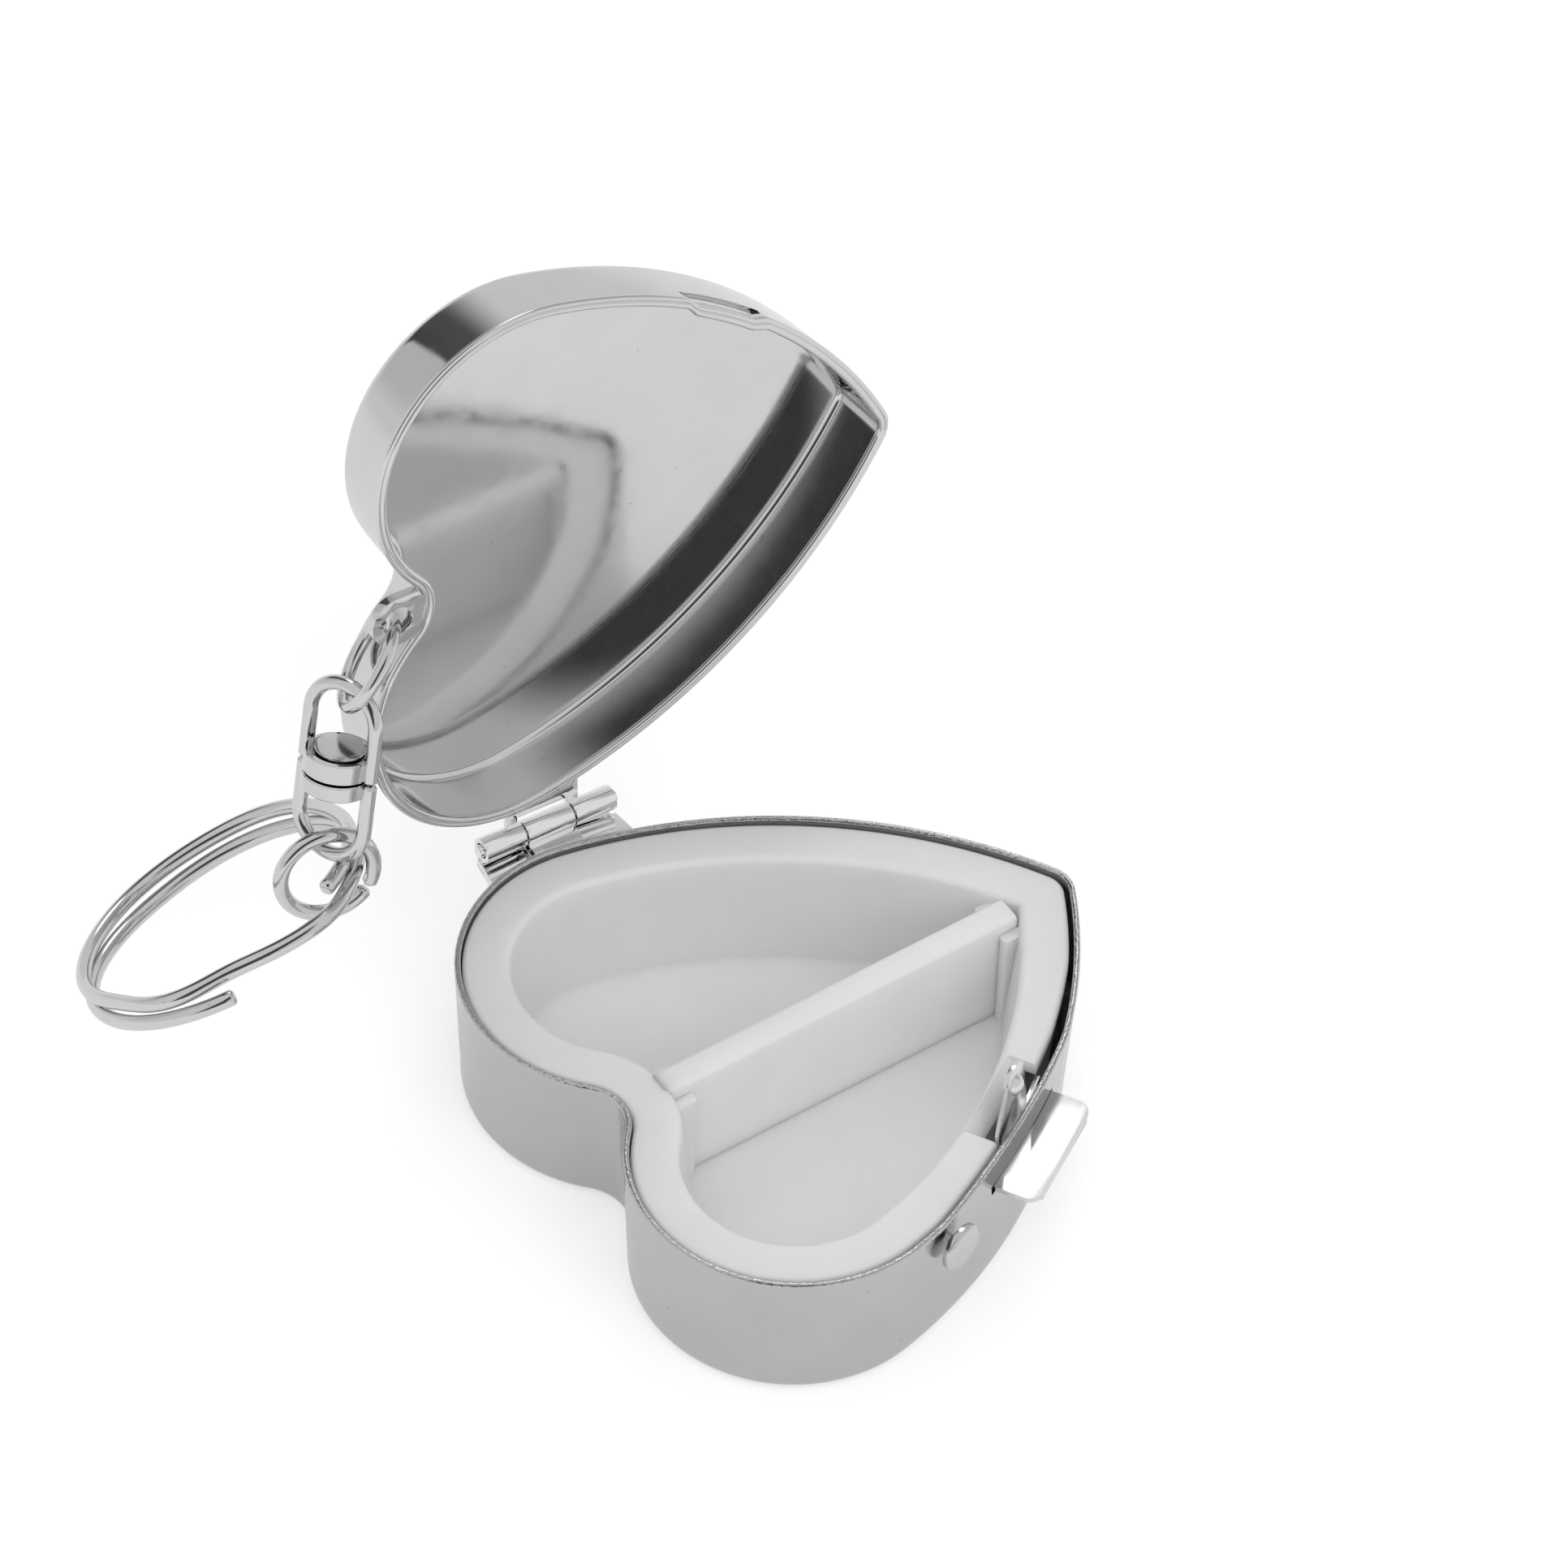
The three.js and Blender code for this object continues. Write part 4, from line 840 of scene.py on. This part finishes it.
def make_lower_ring():
    path = []
    for k in range(RING_STEPS + 1):
        sweep = LOWER_RING_CUT_DEG / 2 + (360 - LOWER_RING_CUT_DEG) * k / RING_STEPS
        angle = math.radians(LOWER_RING_CUT_AT_DEG + sweep - 90)
        path.append(Vector((math.cos(angle), 0, math.sin(angle) - 1)) * LOWER_RING_RADIUS)
    ring = wire("lower_link", path, LOWER_RING_WIRE / 2, False)
    shade(ring, OPEN_RING_SHARP_DEG)
    return ring


def split_bend(turns):
    """How far the split ring's bent wire stands off its round. A bend has a middle, a width and a size."""
    return sum(size * math.exp(-(((turns - middle) / width) ** 2)) for middle, width, size in SPLIT_BENDS)


def make_split_ring():
    """One slightly flat wire wound over its turns and bent here and there."""
    steps = round(SPLIT_STEPS_PER_TURN * SPLIT_TURNS)
    hang_turns = (SPLIT_START_DEG + 270) / 360 + 0.5
    path = []
    for k in range(steps + 1):
        turns = k / SPLIT_STEPS_PER_TURN
        turned = math.radians(SPLIT_START_DEG - turns * 360)
        radius = SPLIT_RADIUS + split_bend(turns)
        over = (hang_turns - turns) * SPLIT_PITCH
        path.append(Vector((radius * math.cos(turned), over, radius * math.sin(turned) - SPLIT_RADIUS)))
    ring = wire("key_ring", path, SPLIT_WIRE_SEEN / 2, False, SPLIT_WIRE_FLAT)
    shade(ring, OPEN_RING_SHARP_DEG)
    return ring


# Materials
def new_material(name):
    material = bpy.data.materials.new(name)
    material.use_nodes = True
    tree = material.node_tree
    tree.nodes.clear()
    output = tree.nodes.new("ShaderNodeOutputMaterial")
    shader = tree.nodes.new("ShaderNodeBsdfPrincipled")
    tree.links.new(shader.outputs["BSDF"], output.inputs["Surface"])
    return material, tree, shader


def noise(tree, per_mm, detail, stretch=(1, 1, 1)):
    """Noise with this many grains in a millimetre along each axis."""
    place = tree.nodes.new("ShaderNodeTexCoord")
    scale = tree.nodes.new("ShaderNodeMapping")
    scale.inputs["Scale"].default_value = [per_mm / MM * share for share in stretch]
    grain = tree.nodes.new("ShaderNodeTexNoise")
    grain.inputs["Scale"].default_value = 1
    grain.inputs["Detail"].default_value = detail
    tree.links.new(place.outputs["Object"], scale.inputs["Vector"])
    tree.links.new(scale.outputs["Vector"], grain.inputs["Vector"])
    return grain.outputs["Fac"]


def ranged(tree, value, from_low, from_high, to_low, to_high):
    node = tree.nodes.new("ShaderNodeMapRange")
    limits = {"From Min": from_low, "From Max": from_high, "To Min": to_low, "To Max": to_high}
    for name, number in limits.items():
        node.inputs[name].default_value = number
    tree.links.new(value, node.inputs["Value"])
    return node.outputs["Result"]


def along(tree, direction, way):
    """How far a direction or a place reaches along a way."""
    dot = tree.nodes.new("ShaderNodeVectorMath")
    dot.operation = "DOT_PRODUCT"
    dot.inputs[1].default_value = way.normalized()
    tree.links.new(direction, dot.inputs[0])
    return dot.outputs["Value"]


def bump(tree, height, depth_mm, normal=None):
    node = tree.nodes.new("ShaderNodeBump")
    node.inputs["Strength"].default_value = 1
    node.inputs["Distance"].default_value = depth_mm * MM
    tree.links.new(height, node.inputs["Height"])
    if normal:
        tree.links.new(normal, node.inputs["Normal"])
    return node.outputs["Normal"]


def paint_grey(tree, shader, level):
    """Colours a shader with the same level in every channel."""
    tone = tree.nodes.new("ShaderNodeCombineColor")
    for channel in ("Red", "Green", "Blue"):
        tree.links.new(level, tone.inputs[channel])
    tree.links.new(tone.outputs["Color"], shader.inputs["Base Color"])


def dimmed(tree, level, share):
    """A level dimmed by a share."""
    kept = ranged(tree, share, 0, 1, 1, 0)
    tree.links.new(level, kept.node.inputs["To Min"])
    return kept


def nickel(name, grey, smooth_finish, rough_finish, wave_mm, grain_mm, streak=1):
    """Polished nickel plate with handling marks: pits, roughness clouds, slow waves and fine grain."""
    material, tree, shader = new_material(name)
    shader.inputs["Metallic"].default_value = 1
    clear = ranged(tree, noise(tree, 0.25, 4), 0.3, 0.7, grey * CLOUDED_SHARE, grey)
    pits = ranged(tree, noise(tree, 1.6, 2), PIT_FROM, PIT_FULL, 0, PIT_SHARE)
    paint_grey(tree, shader, dimmed(tree, clear, pits))
    clouds = ranged(tree, noise(tree, 0.5, 5), 0.35, 0.7, smooth_finish, rough_finish)
    tree.links.new(clouds, shader.inputs["Roughness"])
    waves = bump(tree, noise(tree, 0.12, 1), wave_mm)
    grain = bump(tree, noise(tree, 9, 3, (1, 1, streak)), grain_mm, waves)
    tree.links.new(grain, shader.inputs["Normal"])
    return material


def worn_rim(material, low_mm, high_mm, grain_mm):
    """Deepens a material's grain and sets its finish above a height, as handling wears a rim."""
    tree = material.node_tree
    shader = next(node for node in tree.nodes if node.type == "BSDF_PRINCIPLED")
    place = tree.nodes.new("ShaderNodeTexCoord")
    height = along(tree, place.outputs["Object"], Vector((0, 0, 1)))
    depth = ranged(tree, height, low_mm * MM, high_mm * MM, 0, grain_mm * MM)
    smooth_normal = shader.inputs["Normal"].links[0].from_socket
    worn = bump(tree, noise(tree, 2.2, 3), grain_mm, smooth_normal)
    tree.links.new(depth, worn.node.inputs["Distance"])
    tree.links.new(worn, shader.inputs["Normal"])
    finish = ranged(tree, height, low_mm * MM, high_mm * MM, 0, RIM_WORN_FINISH)
    tree.links.new(shader.inputs["Roughness"].links[0].from_socket, finish.node.inputs["To Min"])
    tree.links.new(finish, shader.inputs["Roughness"])


def liner_plastic():
    """White moulded plastic, matte and slightly translucent."""
    material, tree, shader = new_material("liner_plastic")
    paint_grey(tree, shader, ranged(tree, noise(tree, 0.2, 3), 0.3, 0.7, *PLASTIC_TONE))
    shader.inputs["Subsurface Weight"].default_value = GLOW_SHARE
    shader.inputs["Subsurface Radius"].default_value = [GLOW_REACH * MM] * 3
    shader.inputs["Subsurface Scale"].default_value = 1
    finish = ranged(tree, noise(tree, 1.2, 4), 0.3, 0.7, *PLASTIC_FINISH)
    tree.links.new(finish, shader.inputs["Roughness"])
    grain = bump(tree, noise(tree, 5, 4), PLASTIC_GRAIN)
    tree.links.new(grain, shader.inputs["Normal"])
    return material


def dress_cad_node(node, material, bevel_mm):
    """Gives a CAD node its material, eased edges and smooth round faces."""
    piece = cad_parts[node]
    piece.data.materials.clear()
    piece.data.materials.append(material)
    weld = piece.modifiers.new("weld", "WELD")
    weld.merge_threshold = WELD_REACH * MM
    ease = piece.modifiers.new("ease", "BEVEL")
    ease.width = bevel_mm * MM
    ease.segments = EASE_SEGMENTS
    ease.limit_method = "ANGLE"
    ease.angle_limit = math.radians(EASE_FROM_DEG)
    rounding = piece.modifiers.new("round faces", "NODES")
    rounding.node_group = smooth_faces


def make_smooth_faces(limit_deg):
    """A modifier group that shades faces smooth across edges flatter than a limit."""
    group = bpy.data.node_groups.new("smooth_faces", "GeometryNodeTree")
    group.interface.new_socket("Geometry", in_out="INPUT", socket_type="NodeSocketGeometry")
    group.interface.new_socket("Geometry", in_out="OUTPUT", socket_type="NodeSocketGeometry")
    source = group.nodes.new("NodeGroupInput")
    result = group.nodes.new("NodeGroupOutput")
    angle = group.nodes.new("GeometryNodeInputMeshEdgeAngle")
    flat = group.nodes.new("FunctionNodeCompare")
    flat.operation = "LESS_EQUAL"
    flat.inputs[1].default_value = math.radians(limit_deg)
    faces = group.nodes.new("GeometryNodeSetShadeSmooth")
    faces.domain = "FACE"
    edges = group.nodes.new("GeometryNodeSetShadeSmooth")
    edges.domain = "EDGE"
    group.links.new(source.outputs["Geometry"], faces.inputs["Geometry"])
    group.links.new(faces.outputs["Geometry"], edges.inputs["Geometry"])
    group.links.new(angle.outputs["Unsigned Angle"], flat.inputs[0])
    group.links.new(flat.outputs["Result"], edges.inputs["Shade Smooth"])
    group.links.new(edges.outputs["Geometry"], result.inputs["Geometry"])
    return group


# Stage: floor, tent of light, lamps and camera
def make_floor():
    sides = ((-1, -1), (1, -1), (1, 1), (-1, 1))
    corners = [Vector((x * FLOOR_REACH, y * FLOOR_REACH, -FLOOR_DROP)) for x, y in sides]
    floor = mesh_piece("floor", corners, [(0, 1, 2, 3)])
    material, tree, shader = new_material("floor_white")
    shader.inputs["Base Color"].default_value = (FLOOR_GREY, FLOOR_GREY, FLOOR_GREY, 1)
    shader.inputs["Roughness"].default_value = FLOOR_FINISH
    shader.inputs["Specular IOR Level"].default_value = 0
    shader.inputs["Emission Color"].default_value = (1, 1, 1, 1)
    path = tree.nodes.new("ShaderNodeLightPath")
    in_metal = ranged(tree, path.outputs["Is Glossy Ray"], 0, 1, 0, FLOOR_LIFT_IN_METAL)
    lift = ranged(tree, path.outputs["Is Camera Ray"], 0, 1, 0, FLOOR_LIFT)
    tree.links.new(in_metal, lift.node.inputs["To Min"])
    tree.links.new(lift, shader.inputs["Emission Strength"])
    floor.data.materials.append(material)


def masked(tree, value, clear, full, share):
    """A share, a number or a socket, that fades from full to nothing as a value goes to clear."""
    fade = ranged(tree, value, clear, full, 0, 1)
    if isinstance(share, (int, float)):
        fade.node.inputs["To Max"].default_value = share
    else:
        tree.links.new(share, fade.node.inputs["To Max"])
    fade.node.interpolation_type = "SMOOTHSTEP"
    return fade


def patch(tree, direction, toward, share, inner_deg, outer_deg):
    """A round patch about a direction, full within the inner angle and gone past the outer one."""
    low = math.cos(math.radians(outer_deg))
    high = math.cos(math.radians(inner_deg))
    return masked(tree, along(tree, direction, toward), low, high, share)


def make_world():
    world = bpy.data.worlds.new("tent")
    bpy.context.scene.world = world
    world.use_nodes = True
    tree = world.node_tree
    tree.nodes.clear()
    output = tree.nodes.new("ShaderNodeOutputWorld")
    light = tree.nodes.new("ShaderNodeBackground")
    tree.links.new(light.outputs["Background"], output.inputs["Surface"])
    place = tree.nodes.new("ShaderNodeTexCoord")
    direction = place.outputs["Generated"]
    right = along(tree, direction, Vector((1, 0, 0)))
    back = along(tree, direction, Vector((0, 1, 0)))

    stand = masked(tree, along(tree, direction, STAND_TOWARD), *STAND_EDGE, STAND_SHARE)
    stand = masked(tree, back, *STAND_FRONT_EDGE, stand)
    stand = masked(tree, back, *STAND_BACK_EDGE, stand)
    card = patch(tree, direction, CARD_TOWARD, CARD_SHARE, *CARD_ANGLES_DEG)
    card = masked(tree, right, *CARD_LEFT_EDGE, card)
    card = masked(tree, right, *CARD_RIGHT_EDGE, card)
    side = patch(tree, direction, SIDE_CARD_TOWARD, SIDE_CARD_SHARE, *SIDE_CARD_ANGLES_DEG)
    corner = patch(tree, direction, CORNER_CARD_TOWARD, CORNER_CARD_SHARE, *CORNER_CARD_ANGLES_DEG)
    key = patch(tree, direction, KEY_TOWARD, 1, *KEY_ANGLES_DEG)

    level = ranged(tree, key, 0, 1, TENT_LEVEL, KEY_LEVEL)
    for dark in (stand, card, side, corner):
        level = dimmed(tree, level, dark)
    path = tree.nodes.new("ShaderNodeLightPath")
    seen = tree.nodes.new("ShaderNodeMix")
    seen.inputs["B"].default_value = 1
    tree.links.new(path.outputs["Is Camera Ray"], seen.inputs["Factor"])
    tree.links.new(level, seen.inputs["A"])
    tree.links.new(seen.outputs["Result"], light.inputs["Strength"])


def fill_panel(toward, distance_mm, side_mm, radiance):
    """A large soft panel that lights the case from a direction and isn't mirrored in it."""
    lamp = bpy.data.lights.new("fill", "AREA")
    lamp.shape = "SQUARE"
    lamp.size = side_mm * MM
    lamp.energy = radiance * math.pi * lamp.size**2
    piece = bpy.data.objects.new("fill", lamp)
    piece.location = (CAMERA_TARGET + toward.normalized() * distance_mm) * MM
    piece.rotation_euler = toward.to_track_quat("Z", "Y").to_euler()
    piece.visible_camera = False
    piece.visible_glossy = False
    bpy.context.scene.collection.objects.link(piece)


def view_way():
    azimuth = math.radians(CAMERA_AZIMUTH_DEG)
    elevation = math.radians(CAMERA_ELEVATION_DEG)
    level = math.cos(elevation)
    return Vector((-math.sin(azimuth) * level, math.cos(azimuth) * level, -math.sin(elevation)))


def make_camera():
    azimuth = math.radians(CAMERA_AZIMUTH_DEG)
    roll = math.radians(CAMERA_ROLL_DEG)
    ahead = view_way()
    level = Vector((math.cos(azimuth), math.sin(azimuth), 0))
    down = ahead.cross(level)
    right = level * math.cos(roll) + down * math.sin(roll)
    up = level * math.sin(roll) - down * math.cos(roll)
    camera = bpy.data.objects.new("camera", bpy.data.cameras.new("camera"))
    camera.data.lens = CAMERA_LENS
    camera.data.sensor_width = CAMERA_SENSOR
    camera.data.clip_start = CAMERA_NEAR * MM
    camera.data.clip_end = CAMERA_FAR * MM
    turn = Matrix((right, up, -ahead)).transposed().to_4x4()
    camera.matrix_world = Matrix.Translation((CAMERA_TARGET - ahead * CAMERA_DISTANCE) * MM) @ turn
    bpy.context.scene.collection.objects.link(camera)
    bpy.context.scene.camera = camera


# Finishes, whose greys partly paint light and shade on each part
smooth_faces = make_smooth_faces(SMOOTH_BELOW_DEG)
case_metal = nickel("case_metal", *CASE_NICKEL, CASE_STREAK)
worn_rim(case_metal, BASE_HEIGHT - BASE_RIM_WIDTH, BASE_HEIGHT - BASE_RIM_WIDTH / 2, RIM_WEAR)
lid_metal = nickel("lid_metal", *LID_NICKEL)
hinge_metal = nickel("hinge_metal", *HINGE_NICKEL)
latch_metal = nickel("latch_metal", *LATCH_NICKEL)
rivet_metal = nickel("rivet_metal", *RIVET_NICKEL)
chain_metal = nickel("chain_metal", *CHAIN_NICKEL)
plastic = liner_plastic()

# Case, liner and latch
dress(make_base_shell(), "base", "base_shell", case_metal)
dress(make_lid_shell(), "lid", "lid_shell", lid_metal)
dress(make_liner(), "base", "liner_tray", plastic)
dress(make_divider(), "divider", "divider", plastic)
dress_cad_node("latch_spring", latch_metal, LATCH_EASE)
dress_cad_node("latch_rivet", rivet_metal, RIVET_EASE)
dress_cad_node("base_hinge_leaf", hinge_metal, EASE)
dress_cad_node("lid_hinge_leaf", hinge_metal, EASE)
dress_cad_node("hinge_pin", hinge_metal, EASE)
dress_cad_node("key_lug", chain_metal, EASE)
dress_cad_node("swivel_rivet", rivet_metal, EASE)

# Chain
LUG_RING_PLACE, SWIVEL_PLACE, LOWER_RING_PLACE, SPLIT_PLACE = chain_places()
links = [
    (make_lug_ring(), LUG_RING_PLACE, "lug_ring", "lug_ring"),
    (make_upper_bow(), SWIVEL_PLACE, "upper_bow", "swivel_upper_bow"),
    (make_lower_bow(), SWIVEL_PLACE, "lower_bow", "swivel_lower_bow"),
    (make_lower_ring(), LOWER_RING_PLACE, "lower_ring", "lower_ring"),
    (make_split_ring(), SPLIT_PLACE, "split_ring", "split_ring"),
]
for piece, place, body, node in links:
    piece.data.transform(in_metres(place))
    dress(piece, body, node, chain_metal)

# Stage
make_floor()
make_camera()
make_world()
fill_panel(FILL_TOWARD, FILL_DISTANCE, FILL_SIDE, FILL_LEVEL)
bpy.context.scene.view_settings.view_transform = "Standard"
